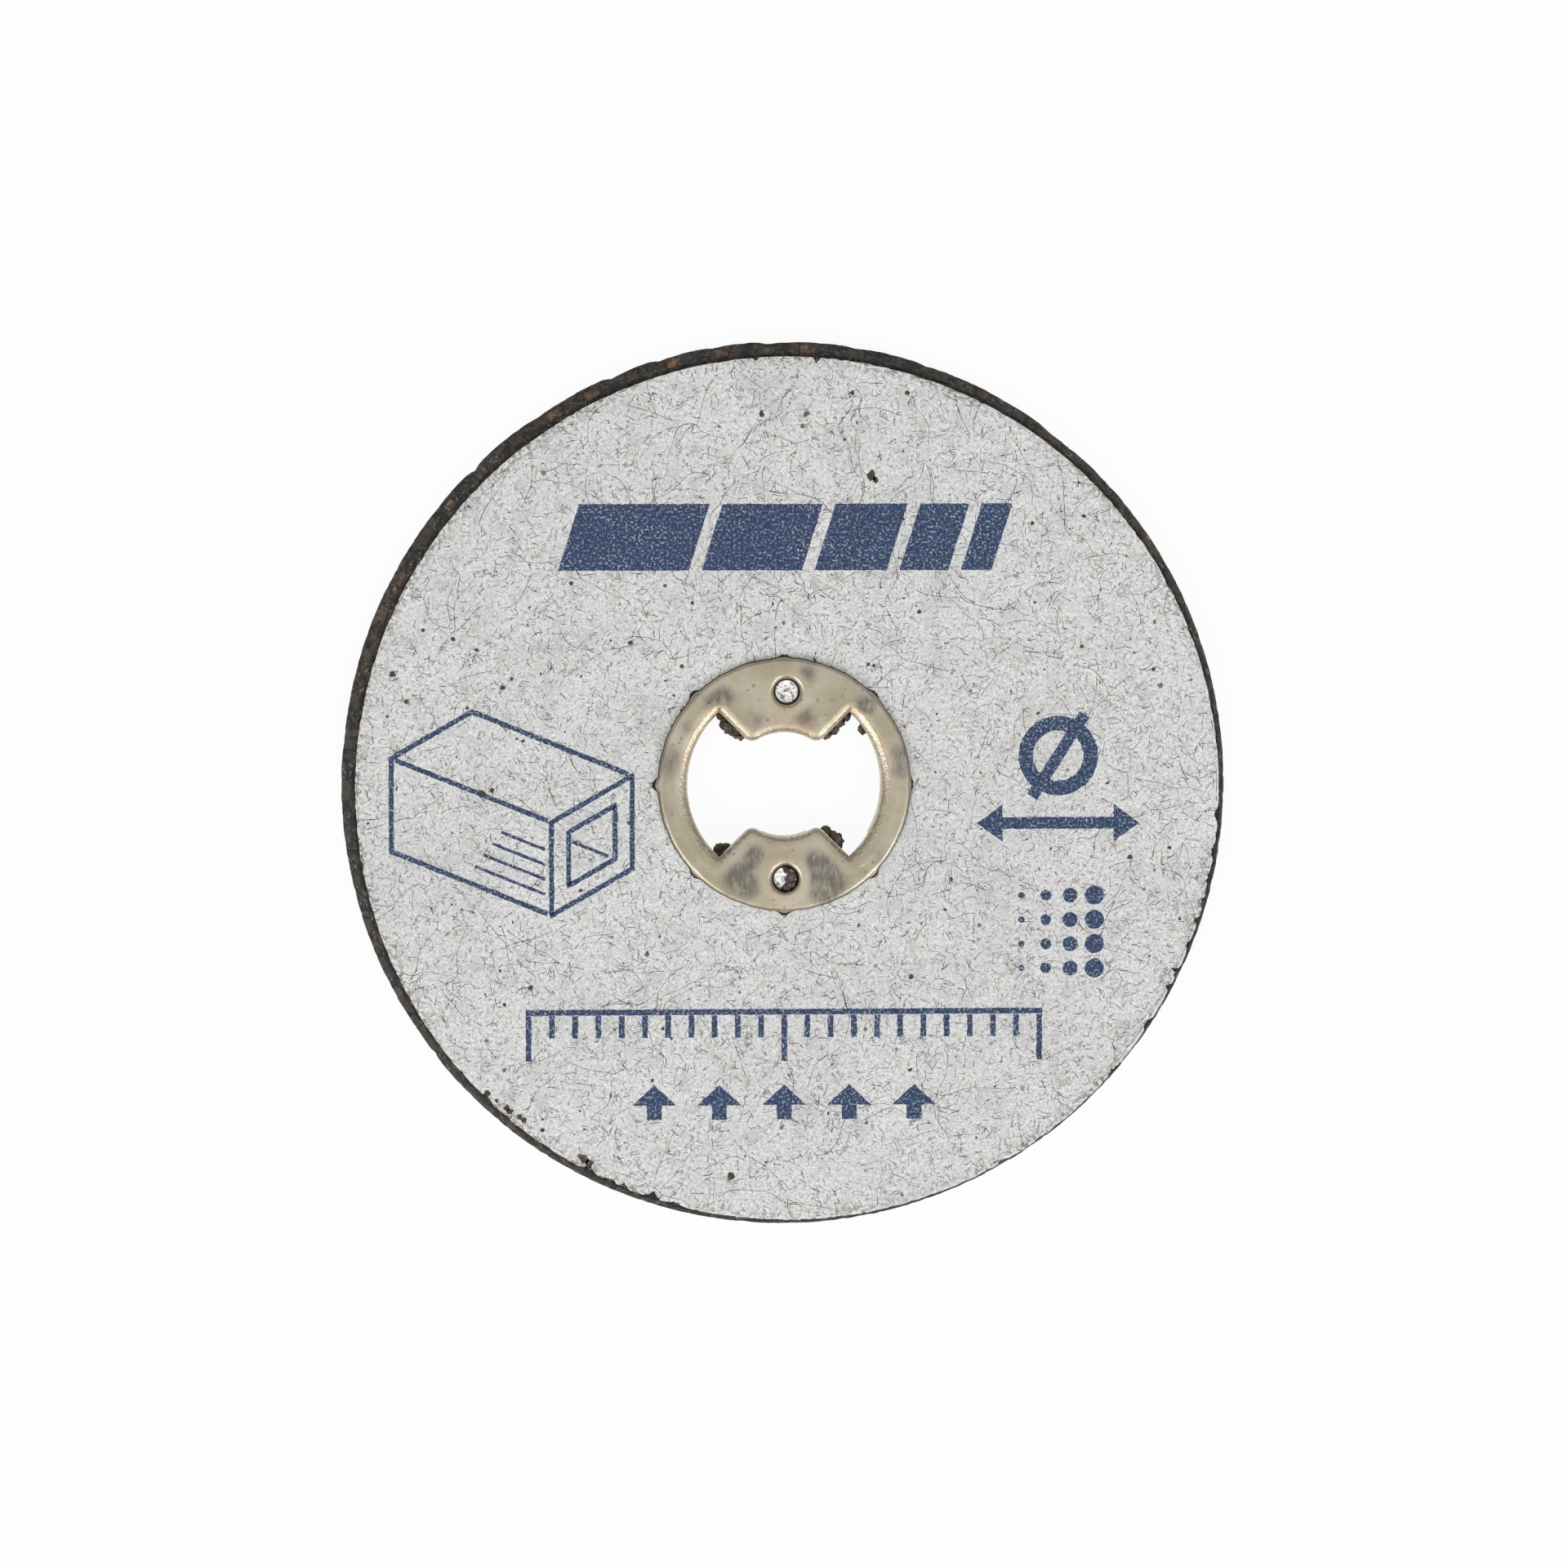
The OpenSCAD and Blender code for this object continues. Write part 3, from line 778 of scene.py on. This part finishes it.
SPECKS = speck_finish()
pits = finished("paper_pits", pit_form(), 60, SPECKS)
dark_fibre = fibre_finish("dark_fibres", (0.038, 0.033, 0.028), (0.36, 0.35, 0.33))
pale_hair = fibre_finish("pale_hairs", (0.06, 0.05, 0.04), (0.4, 0.385, 0.36))
short_fibres = fibres("paper_fibres", dark_fibre, count=16000, joints=5, seed=11,
                      Length=0.42 * MM, Width=0.023 * MM, Curl=0.8 * MM, Bend=0.4 * MM)
long_hairs = fibres("paper_hairs", pale_hair, count=380, joints=20, seed=15,
                    Length=4.0 * MM, Width=0.024 * MM, Curl=2.4 * MM, Bend=3.0 * MM)
for piece in (short_fibres, long_hairs, specks(SPECKS), pits):
    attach(piece, "root")


# Print: one pass of blue ink, rolled onto the paper before it was moulded on, and worn to fine specks. It
# has plain marks only: bars, a tube in outline, a diameter sign, a grit mark, a scale and arrows. Its sizes
# and places are in mm.
INK_Z = PAPER_TOP + 0.009 * MM
INK_LINE, INK_STEP = 0.21, 0.09
INK_BLEED, BLEED_SIZE, BLEED_SEED = 0.035, 0.13, 7
BAR_Y, BAR_H, BAR_SLANT = 9.2, 2.85, 0.9
BAR_X, BAR_GAP = -9.7, 0.55
BAR_WIDTHS = (5.6, 4.3, 3.1, 2.1, 1.3)
TUBE_CORNER, TUBE_SIDE, TUBE_L, TUBE_WALL = np.array((-10.0, -5.6)), 4.0, 7.4, 0.85
TUBE_LEAN, TUBE_TURN = math.radians(22), math.pi / 6
TUBE_HATCH = (0.2, 0.36, 0.52, 0.68)
SIGN_CENTRE, SIGN_R, SIGN_LINE = (11.8, 1.2), 1.4, 0.62
SLASH_L, SLASH_TURN = 1.5, 1.0
SPAN_X, SPAN_Y, SPAN_HALF, SPAN_LINE = 11.8, -1.7, 3.5, 0.5
HEAD_L, HEAD_HALF = 1.1, 0.8
GRIT_MARK, GRIT_ROWS, GRIT_PITCH = np.array((11.8, -6.4)), 4, 1.05
GRIT_DOT, GRIT_GROWTH = 0.14, 0.09
RULE_X, RULE_Y, RULE_STEP, RULE_COUNT, RULE_LINE = -11.0, -9.8, 1.0, 23, 0.24
RULE_LONG, RULE_SHORT, RULE_EVERY = 2.1, 1.1, 11
ARROW_Y, ARROW_H, ARROW_XS = -14.45, 1.5, (-5.6, -2.8, 0.0, 2.8, 5.6)
ARROW_NECK, ARROW_HALF, SHAFT_HALF = 0.62, 0.95, 0.32


def run_along(points, closed):
    """The same path with points a short step apart."""
    path = np.array(points, float)
    ends = np.roll(path, -1, axis=0) if closed else path[1:]
    steps = []
    for here, there in zip(path, ends):
        count = max(1, round(math.dist(here, there) / INK_STEP))
        steps.extend(here + (there - here) * i / count for i in range(count))
    if not closed:
        steps.append(path[-1])
    return steps


def inked(form, place):
    """A corner of the ink, moved a little where the ink ran into the pulp."""
    run = noise.noise_vector(Vector((*place, 0)) / BLEED_SIZE)
    return form.verts.new(((place[0] + INK_BLEED * run.x) * MM, (place[1] + INK_BLEED * run.y) * MM, INK_Z))


def fill(form, points):
    """A flat patch of ink with these corners."""
    form.faces.new([inked(form, place) for place in run_along(points, True)])


def stroke(form, points, width, closed=False):
    """A line of ink along these points, with mitred corners."""
    path = run_along(points, closed)
    pairs = []
    for i, here in enumerate(path):
        before = path[i - 1] if closed or i > 0 else None
        after = path[(i + 1) % len(path)] if closed or i < len(path) - 1 else None
        ways = [b - a for a, b in ((before, here), (here, after)) if a is not None and b is not None]
        sides = [np.array((-w[1], w[0])) / math.hypot(*w) for w in ways]
        mitre = sum(sides) / max(1 + sides[0] @ sides[-1], 0.8) if len(sides) == 2 else sides[0]
        pairs.append([inked(form, here + s * mitre * width / 2) for s in (1, -1)])
    for i in range(len(pairs) - (0 if closed else 1)):
        (a, b), (c, d) = pairs[i], pairs[(i + 1) % len(pairs)]
        form.faces.new((a, b, d, c))


def circle(centre, radius, corners=64):
    return np.array(centre) + radius * round_axis(corners)[1]


def draw_bars(form):
    x = BAR_X
    for width in BAR_WIDTHS:
        top = x + BAR_SLANT
        fill(form, ((x, BAR_Y), (x + width, BAR_Y), (top + width, BAR_Y + BAR_H), (top, BAR_Y + BAR_H)))
        x += width + BAR_GAP


def draw_tube(form):
    """A square tube in outline: its near end with the bore, its far edges, and hatching on its side."""
    right = TUBE_SIDE * np.array((math.cos(TUBE_TURN), math.sin(TUBE_TURN)))
    back = TUBE_L * np.array((-math.cos(TUBE_LEAN), math.sin(TUBE_LEAN)))
    up = np.array((0, TUBE_SIDE))
    inset = TUBE_WALL / TUBE_SIDE
    near = TUBE_CORNER
    stroke(form, (near, near + right, near + right + up, near + up), INK_LINE, True)
    shares = ((inset, inset), (1 - inset, inset), (1 - inset, 1 - inset), (inset, 1 - inset))
    stroke(form, [near + a * right + b * up for a, b in shares], INK_LINE, True)
    bore_floor = near + (1 - inset) * right + inset * up
    run = (1 - 2 * inset) * right[0] / -back[0]
    stroke(form, (bore_floor + 0.04 * back, bore_floor + (run - 0.02) * back), 0.7 * INK_LINE)
    gap = 0.85 * INK_LINE / TUBE_L * back
    far_corner = near + up + right
    stroke(form, (near + gap, near + back, near + back + up, far_corner + back, far_corner + gap), INK_LINE)
    stroke(form, (near + up + back - gap, near + up + gap), INK_LINE)
    for share in TUBE_HATCH:
        start = near + share * up
        stroke(form, (start + 0.04 * back, start + (0.55 - 0.35 * share) * back), 0.6 * INK_LINE)


def draw_diameter(form):
    """A diameter sign, whose slash is cut where it crosses the ring, over a double arrow."""
    stroke(form, circle(SIGN_CENTRE, SIGN_R), SIGN_LINE, True)
    slash = SLASH_L * SIGN_R * np.array((math.cos(SLASH_TURN), math.sin(SLASH_TURN)))
    inner = (SIGN_R - 0.5 * SIGN_LINE) / math.hypot(*slash)
    outer = (SIGN_R + 0.5 * SIGN_LINE) / math.hypot(*slash)
    for low, high in ((-1, -outer), (-inner, inner), (outer, 1)):
        stroke(form, (SIGN_CENTRE + low * slash, SIGN_CENTRE + high * slash), 0.8 * SIGN_LINE)
    neck = SPAN_HALF - HEAD_L
    stroke(form, ((SPAN_X - neck, SPAN_Y), (SPAN_X + neck, SPAN_Y)), SPAN_LINE)
    for side in (-1, 1):
        base = SPAN_X + side * neck
        fill(form, ((SPAN_X + side * SPAN_HALF, SPAN_Y), (base, SPAN_Y + side * HEAD_HALF),
                    (base, SPAN_Y - side * HEAD_HALF)))


def draw_grit_mark(form):
    for row in range(GRIT_ROWS):
        for column in range(GRIT_ROWS):
            spot = GRIT_MARK + GRIT_PITCH * (np.array((column, row)) - 0.5 * (GRIT_ROWS - 1))
            fill(form, circle(spot, GRIT_DOT + GRIT_GROWTH * column, 20))


def draw_scale(form):
    end = RULE_X + RULE_STEP * (RULE_COUNT - 1)
    stroke(form, ((RULE_X - RULE_LINE / 2, RULE_Y), (end + RULE_LINE / 2, RULE_Y)), RULE_LINE)
    for i in range(RULE_COUNT):
        tick = RULE_X + i * RULE_STEP
        length = RULE_SHORT if i % RULE_EVERY else RULE_LONG
        stroke(form, ((tick, RULE_Y - 0.62 * RULE_LINE), (tick, RULE_Y - length)), RULE_LINE)


def draw_arrows(form):
    neck = ARROW_Y + ARROW_NECK
    for x in ARROW_XS:
        fill(form, ((x - ARROW_HALF, neck), (x + ARROW_HALF, neck), (x, ARROW_Y + ARROW_H)))
        fill(form, ((x - SHAFT_HALF, ARROW_Y), (x + SHAFT_HALF, ARROW_Y), (x + SHAFT_HALF, neck),
                    (x - SHAFT_HALF, neck)))


def ink_finish():
    finish = Finish("blue_ink", (0.009, 0.025, 0.07))
    pulp = finish.noise(0.13, 2)
    finish.coat(pulp.ramp(0.3, 0.7), (0.028, 0.062, 0.15))
    worn = 0.45 + 0.5 * finish.noise(0.8, 2).ramp(0.35, 0.7)
    finish.coat(finish.noise(0.11, 2).ramp(0.51, 0.66) * worn, (0.34, 0.4, 0.48))
    return finish.surface(0.5 + 0.3 * pulp, pulp, 0.012 * MM, IOR=1.45)


noise.seed_set(BLEED_SEED)
print_form = bmesh.new()
for draw in (draw_bars, draw_tube, draw_diameter, draw_grit_mark, draw_scale, draw_arrows):
    draw(print_form)
face_print = finished("face_print", print_form, 60, ink_finish())
for polygon in face_print.data.polygons:
    if polygon.normal.z < 0:
        polygon.flip()
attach(face_print, "root")


# Hub: one stamping of thin steel with a pale yellow plating. Eight teeth at its edge bite into the paper,
# its inner edge is drawn through the wheel, and four tabs are clinched over at the back.
HUB_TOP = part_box("hub_plate")[1].z
HUB_CREASE = 40
FLANGE_Z = HUB_TOP - SHEET_T
RIM_ROLL = 0.14 * MM
CUT_EDGE, EDGE_BREAK = 0.05 * MM, 0.03 * MM
FOLD_R = 0.36 * MM
FOLD_WIDE, FOLD_NARROW, FOLD_BLEND = 0.62 * MM, 0.41 * MM, 20
LIP_STEP = 0.03 * MM
TOOTH_HALF = 4.0
TOOTH_REACHES = np.array((0.16, 0.17, 0.19, 0.25, 0.33, 0.18, 0.28, 0.21)) * MM
TOOTH_PITCH = 360 / len(TOOTH_REACHES)
TOOTH_DROP, TOOTH_BITE = 0.2 * MM, 0.03 * MM
EDGE_WAVE, WAVE_SIZE = 0.05 * MM, 0.5 * MM
DISH, DISH_SIZE = 0.014 * MM, 2.2 * MM
HOLES = ((0.03 * MM, -4.05 * MM), (0.1 * MM, 4.0 * MM))
HOLE_R, HOLE_ROLL, HOLE_BURR = 0.58 * MM, 0.2 * MM, 0.1 * MM
COLLAR_R = 1.25 * MM
# Smudges, and where the plating is worn to copper: x, y and radius in mm, and a weight.
SMUDGES = ((-2.6, 3.85, 0.8, 1.0), (-3.2, 3.6, 0.7, 0.8), (0.9, 4.8, 0.75, 0.9), (3.35, 3.5, 0.7, 0.9),
           (3.65, 3.3, 0.6, 0.8), (-4.9, 1.2, 0.9, 0.6), (-5.0, 0.5, 0.8, 0.5), (-4.95, -1.2, 0.9, 0.4),
           (4.95, 1.4, 0.7, 0.9), (5.0, 0.6, 0.7, 0.9), (-1.3, -2.95, 0.8, 1.0), (-1.75, -3.7, 1.0, 1.0),
           (-2.3, -4.2, 0.9, 0.8), (-1.55, -4.5, 0.9, 0.9), (1.3, -3.2, 0.8, 1.0), (1.65, -3.75, 1.0, 1.2),
           (2.1, -4.2, 1.0, 1.1), (1.6, -4.55, 1.0, 1.3), (0.9, 2.85, 0.9, 0.9), (-1.2, 2.8, 0.8, 0.6),
           (4.0, -2.9, 0.8, 0.5), (-4.2, 2.5, 0.7, 0.6))
COPPER_SPOTS = ((0, 2.5, 1.2, 0.8), (1.0, 2.4, 0.7, 0.7), (0, -5.4, 0.6, 0.9), (-3.0, 3.1, 0.4, 0.8),
                (3.0, 3.1, 0.5, 0.7), (-2.4, -5.0, 0.8, 0.7), (0, -3.35, 0.5, 0.8), (0.1, 4.75, 0.5, 0.6),
                (4.2, 1.6, 0.5, 0.4), (-3.9, 1.4, 0.7, 0.4))


def hub_loops():
    """Loops of the stamping's section: flange, teeth, rolled edge, top, fold, and tabs or lip below."""
    outline, into = opening_outline(6)
    turns, ways = round_axis(len(outline))
    degrees = np.degrees(turns)
    aside = abs((degrees + TOOTH_PITCH / 2) % TOOTH_PITCH - TOOTH_PITCH / 2)
    tooth = np.clip(1 - aside / TOOTH_HALF, 0, 1) ** 1.3
    reach = tooth * TOOTH_REACHES[np.round(degrees / TOOTH_PITCH).astype(int) % len(TOOTH_REACHES)]
    wave = EDGE_WAVE * (lumps(raised(ways * FLANGE_R, 0), WAVE_SIZE, 8) - 0.5)
    reach = reach + wave * (1 - tooth)
    tabs = tab_mask(outline)
    on_wing = np.hypot(outline[:, 0], outline[:, 1]) > 0.97 * WING_R
    soft = np.ones(2 * FOLD_BLEND + 1) / (2 * FOLD_BLEND + 1)
    on_wing = np.concatenate((on_wing[-FOLD_BLEND:], on_wing, on_wing[:FOLD_BLEND]))
    on_wing = np.convolve(on_wing, soft, "valid")
    fold = FOLD_NARROW + (FOLD_WIDE - FOLD_NARROW) * on_wing ** 2

    def ring(radius, z):
        return raised(ways * np.broadcast_to(radius, len(ways))[:, None], z)

    def beside(offset, z):
        return raised(outline + into * np.broadcast_to(offset, len(outline))[:, None], z)

    loops = [beside(SHEET_T, FLANGE_Z),
             ring(FLANGE_R - EDGE_BREAK + reach, FLANGE_Z - TOOTH_BITE * tooth),
             ring(FLANGE_R + reach, FLANGE_Z + TOOTH_BITE * (1 - tooth))]
    for turn, bent in ((0, 0.9), (20, 0.75), (40, 0.5), (55, 0.32), (70, 0.14), (80, 0.05), (90, 0)):
        a = math.radians(turn)
        roll = FLANGE_R - CUT_EDGE - RIM_ROLL * (1 - math.cos(a))
        drop = RIM_ROLL * (1 - math.sin(a)) + TOOTH_DROP * tooth * bent
        loops.append(ring(roll + reach * bent, HUB_TOP - drop))
    outer, inner = loops[-1], beside(fold, HUB_TOP)
    for share in np.linspace(0.1, 0.9, 9):
        flat = outer * (1 - share) + inner * share
        flat[:, 2] -= DISH * lumps(flat, DISH_SIZE, 9) * math.sin(math.pi * share)
        loops.append(flat)
    for a in np.radians(np.linspace(0, 90, 10)):
        loops.append(beside(fold * (1 - math.sin(a)), HUB_TOP - FOLD_R * (1 - math.cos(a))))
    loops.append(beside(0, np.where(tabs, FOLD_R, WHEEL_T)))
    for k, a in enumerate(np.radians(np.linspace(18, 90, 5))):
        rolled, sunk = FOLD_R * (1 - math.cos(a)), FOLD_R * (1 - math.sin(a))
        loops.append(beside(np.where(tabs, rolled, LIP_STEP * (k + 1)), np.where(tabs, sunk, WHEEL_T)))
    far = SHEET_T + CLINCH_L
    tab_section = ((far, 0, 6), (far, SHEET_T, 7), (SHEET_T, SHEET_T, 8), (SHEET_T, WHEEL_T, 10))
    for offset, z, steps in tab_section:
        loops.append(beside(np.where(tabs, offset, LIP_STEP * steps), np.where(tabs, z, WHEEL_T)))
    return loops


def hole_cutter():
    """Two trumpets that cut the small holes and roll their front edges."""
    profile = [(HOLE_R - HOLE_BURR, FLANGE_Z - 0.1 * MM), (HOLE_R - HOLE_BURR, FLANGE_Z + 0.01 * MM)]
    profile.append((HOLE_R, HUB_TOP - HOLE_ROLL))
    for a in np.radians((20, 40, 60, 75, 85)):
        profile.append((HOLE_R + HOLE_ROLL * (1 - math.cos(a)), HUB_TOP - HOLE_ROLL * (1 - math.sin(a))))
    profile.append((HOLE_R + HOLE_ROLL, HUB_TOP + 0.02 * MM))
    profile.append((HOLE_R + HOLE_ROLL, HUB_TOP + 0.2 * MM))
    form = bmesh.new()
    for hole in HOLES:
        rows = [[form.verts.new((*p, z)) for p in circle(hole, radius)] for radius, z in profile]
        for low, high in zip(rows, rows[1:]):
            for i in range(len(low)):
                form.faces.new((low[i], low[i - 1], high[i - 1], high[i]))
        form.faces.new(rows[0])
        form.faces.new(rows[-1])
    return finished("hole_cutter", form, 30)


def plating_finish():
    finish = Finish("pale_plating", (0.5, 0.443, 0.325))
    cloud = finish.noise(1.6, 3)
    fine = finish.noise(0.25, 3)
    brushed = finish.noise(0.05, 2)
    finish.coat(cloud.ramp(0.35, 0.65), (0.61, 0.555, 0.445))
    collar = sum(finish.away(hole).ramp(COLLAR_R, 0.55 * COLLAR_R) for hole in HOLES)
    wiped = finish.vector("MULTIPLY", finish.place, (1, 0.35, 1))
    streaks = 0.5 * finish.noise(0.7, 4, 0.4) + 0.5 * finish.noise(0.15, 3, 0.5, wiped)
    smudged = finish.spots(SMUDGES).ramp(0, 1.0) * (0.4 + 0.6 * streaks.ramp(0.36, 0.58))
    smudged = smudged * (1 - 0.85 * collar)
    finish.coat(smudged * 0.85, (0.15, 0.146, 0.133))
    finish.coat(collar * 0.45, (0.66, 0.59, 0.45))
    inside = finish.away().ramp(FLANGE_R - 0.35 * MM, FLANGE_R - 0.5 * MM) * (1 - collar)
    depth = HUB_TOP - finish.height()
    fold = depth.ramp(0.018 * MM, 0.05 * MM) * inside
    mottle = finish.noise(0.11, 2)
    finish.coat(fold * depth.ramp(0.1 * MM, 0.06 * MM) * 0.3, (0.46, 0.36, 0.22))
    finish.coat(fold * mottle.ramp(0.5, 0.6) * 0.45, (0.78, 0.73, 0.62))
    finish.coat(fold * mottle.ramp(0.5, 0.4) * 0.4, (0.47, 0.34, 0.2))
    finish.coat(finish.spots(COPPER_SPOTS) * fine.ramp(0.35, 0.65) * 0.8, (0.6, 0.36, 0.2))
    finish.coat((finish.chance(0.12) > 0.985) * cloud * 0.8, (0.16, 0.13, 0.1))
    # Near-black below the outer roll and down the small holes' walls: partly the bare cut steel, partly
    # painted shade in the gap at the flange's edge and inside the holes.
    low = depth.ramp(RIM_ROLL + 0.01 * MM, RIM_ROLL + 0.05 * MM)
    outside = finish.away().ramp(FLANGE_R - 0.12 * MM, FLANGE_R - 0.06 * MM)
    in_holes = sum(finish.away(hole).ramp(0.9 * MM, 0.8 * MM) for hole in HOLES)
    finish.coat((low * (outside + in_holes)).ramp(0.2, 0.8) * 0.95, (0.035, 0.026, 0.02))
    # Painted shade darkens the tips of the teeth where they dip into the paper.
    tips = finish.away().ramp(FLANGE_R + 0.08 * MM, FLANGE_R + 0.2 * MM)
    finish.coat(tips * 0.8, (0.07, 0.05, 0.035))
    roughness = 0.34 + 0.2 * fine + 0.1 * smudged
    relief = brushed * 0.3 + fine * 0.7 + collar * 3 + streaks * 1.3 + fold * mottle * 2
    return finish.surface(roughness, relief, 0.01 * MM, Metallic=1.0)


hub = finished("hub_stamping", ring_form(hub_loops()), HUB_CREASE)
cutter = hole_cutter()
cut = hub.modifiers.new("holes", "BOOLEAN")
cut.operation, cut.solver, cut.object, cut.use_self = "DIFFERENCE", "EXACT", cutter, True
settled(hub, cut)
bpy.data.objects.remove(cutter)
smoothed(hub.data, HUB_CREASE)
hub.data.materials.clear()
hub.data.materials.append(plating_finish())
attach(hub, "root")
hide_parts("hub_plate")


# Tear in the paper under the lower hole: the punch that pierced the hub broke the sheet there. Flat ragged
# lumps of the disc's own grit and resin show in the break.
TEAR_GRAIN, TEAR_FLAT = 0.09 * MM, 0.4
# Each lump: x and y from the hole's centre, and its radius, in mm.
TEAR_LUMPS = ((0.3, 0.1, 0.2), (0.3, -0.2, 0.21), (0.12, 0.36, 0.15), (0.12, -0.38, 0.17),
              (0.16, -0.08, 0.13), (0.02, 0.42, 0.1), (-0.05, -0.43, 0.1))
tear_form = bmesh.new()
for x, y, radius in TEAR_LUMPS:
    seat = Vector((x * MM, y * MM + HOLES[0][1], PAPER_TOP))
    strew_lump(tear_form, seat, radius * MM, TEAR_GRAIN, TEAR_FLAT)
tear = finished("hole_tear", tear_form, 60, GRIT)
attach(tear, "root")


# Stage: a white table, a bright ceiling that dims towards the walls, two soft boxes in front, left and
# right, and a long lens that looks down on the face from a little to the upper left.
FLOOR_SIZE, FLOOR_DROP, FLOOR_WHITE = 3.0, 0.01 * MM, 0.93
CEILING, WALLS, BACKDROP = 0.66, 0.2, 0.92
BOX_SIZE, BOX_RISE, BOX_POWER = 0.5, 0.6, 4.3
BOX_ASIDE, BOX_FRONT = 0.8 * 0.72, 0.8 * 0.7
LENS, SENSOR = 200.0, 36.0
FRAME_WIDTH = 67.5 * MM
CAMERA_TILT, CAMERA_TURN = math.radians(5.0), math.radians(129)
CAMERA_AIM = Vector((0.04 * MM, -0.045 * MM, 0.25 * MM))


def table_finish():
    finish = Finish("white_table", (0.86, 0.86, 0.86))
    path = finish.node("ShaderNodeLightPath")
    seen = path["Is Camera Ray"] + path["Is Glossy Ray"] + path["Is Transmission Ray"]
    matt = finish.node("ShaderNodeBsdfDiffuse", None, {"Color": finish.colour})
    white = finish.node("ShaderNodeEmission", None, {"Color": (1, 1, 1, 1), "Strength": 1.0})
    shader = finish.node("ShaderNodeMixShader", None, {0: seen * FLOOR_WHITE, 1: matt, 2: white})
    finish.node("ShaderNodeOutputMaterial", None, {"Surface": shader})
    return finish.material


table_form = bmesh.new()
bmesh.ops.create_grid(table_form, x_segments=8, y_segments=8, size=FLOOR_SIZE / 2,
                      matrix=Matrix.Translation((0, 0, -FLOOR_DROP)))
table = finished("table", table_form, 60, table_finish())

world = bpy.data.worlds.new("studio")
bpy.context.scene.world = world
world.use_nodes = True
world.node_tree.nodes.clear()
studio = Nodes(world.node_tree)
height = studio.parts(studio.node("ShaderNodeTexCoord")["Generated"])["Z"]
seen = studio.node("ShaderNodeLightPath")["Is Camera Ray"]
light = height.ramp(0.2, 0.8) * (CEILING - WALLS) + WALLS
strength = light * (1 - seen) + seen * BACKDROP
sky = studio.node("ShaderNodeBackground", None, {"Color": (1, 0.99, 0.97, 1), "Strength": strength})
studio.node("ShaderNodeOutputWorld", None, {"Surface": sky})

for side in (-1, 1):
    lamp = bpy.data.lights.new("soft_box", "AREA")
    lamp.shape, lamp.size, lamp.energy = "SQUARE", BOX_SIZE, BOX_POWER
    box = bpy.data.objects.new("soft_box", lamp)
    box.location = (side * BOX_ASIDE, -BOX_FRONT, BOX_RISE)
    box.rotation_euler = (-box.location).to_track_quat("-Z", "Y").to_euler()
    bpy.context.scene.collection.objects.link(box)

camera = bpy.data.objects.new("camera", bpy.data.cameras.new("camera"))
camera.data.lens, camera.data.sensor_width = LENS, SENSOR
aside = math.sin(CAMERA_TILT)
away = Vector((aside * math.cos(CAMERA_TURN), aside * math.sin(CAMERA_TURN), math.cos(CAMERA_TILT)))
right = Vector((0, 1, 0)).cross(away).normalized()
pose = Matrix((right, away.cross(right), away)).transposed().to_4x4()
pose.translation = CAMERA_AIM + away * (FRAME_WIDTH * LENS / SENSOR)
camera.matrix_world = pose
bpy.context.scene.collection.objects.link(camera)
bpy.context.scene.camera = camera
bpy.context.scene.view_settings.view_transform = "Standard"
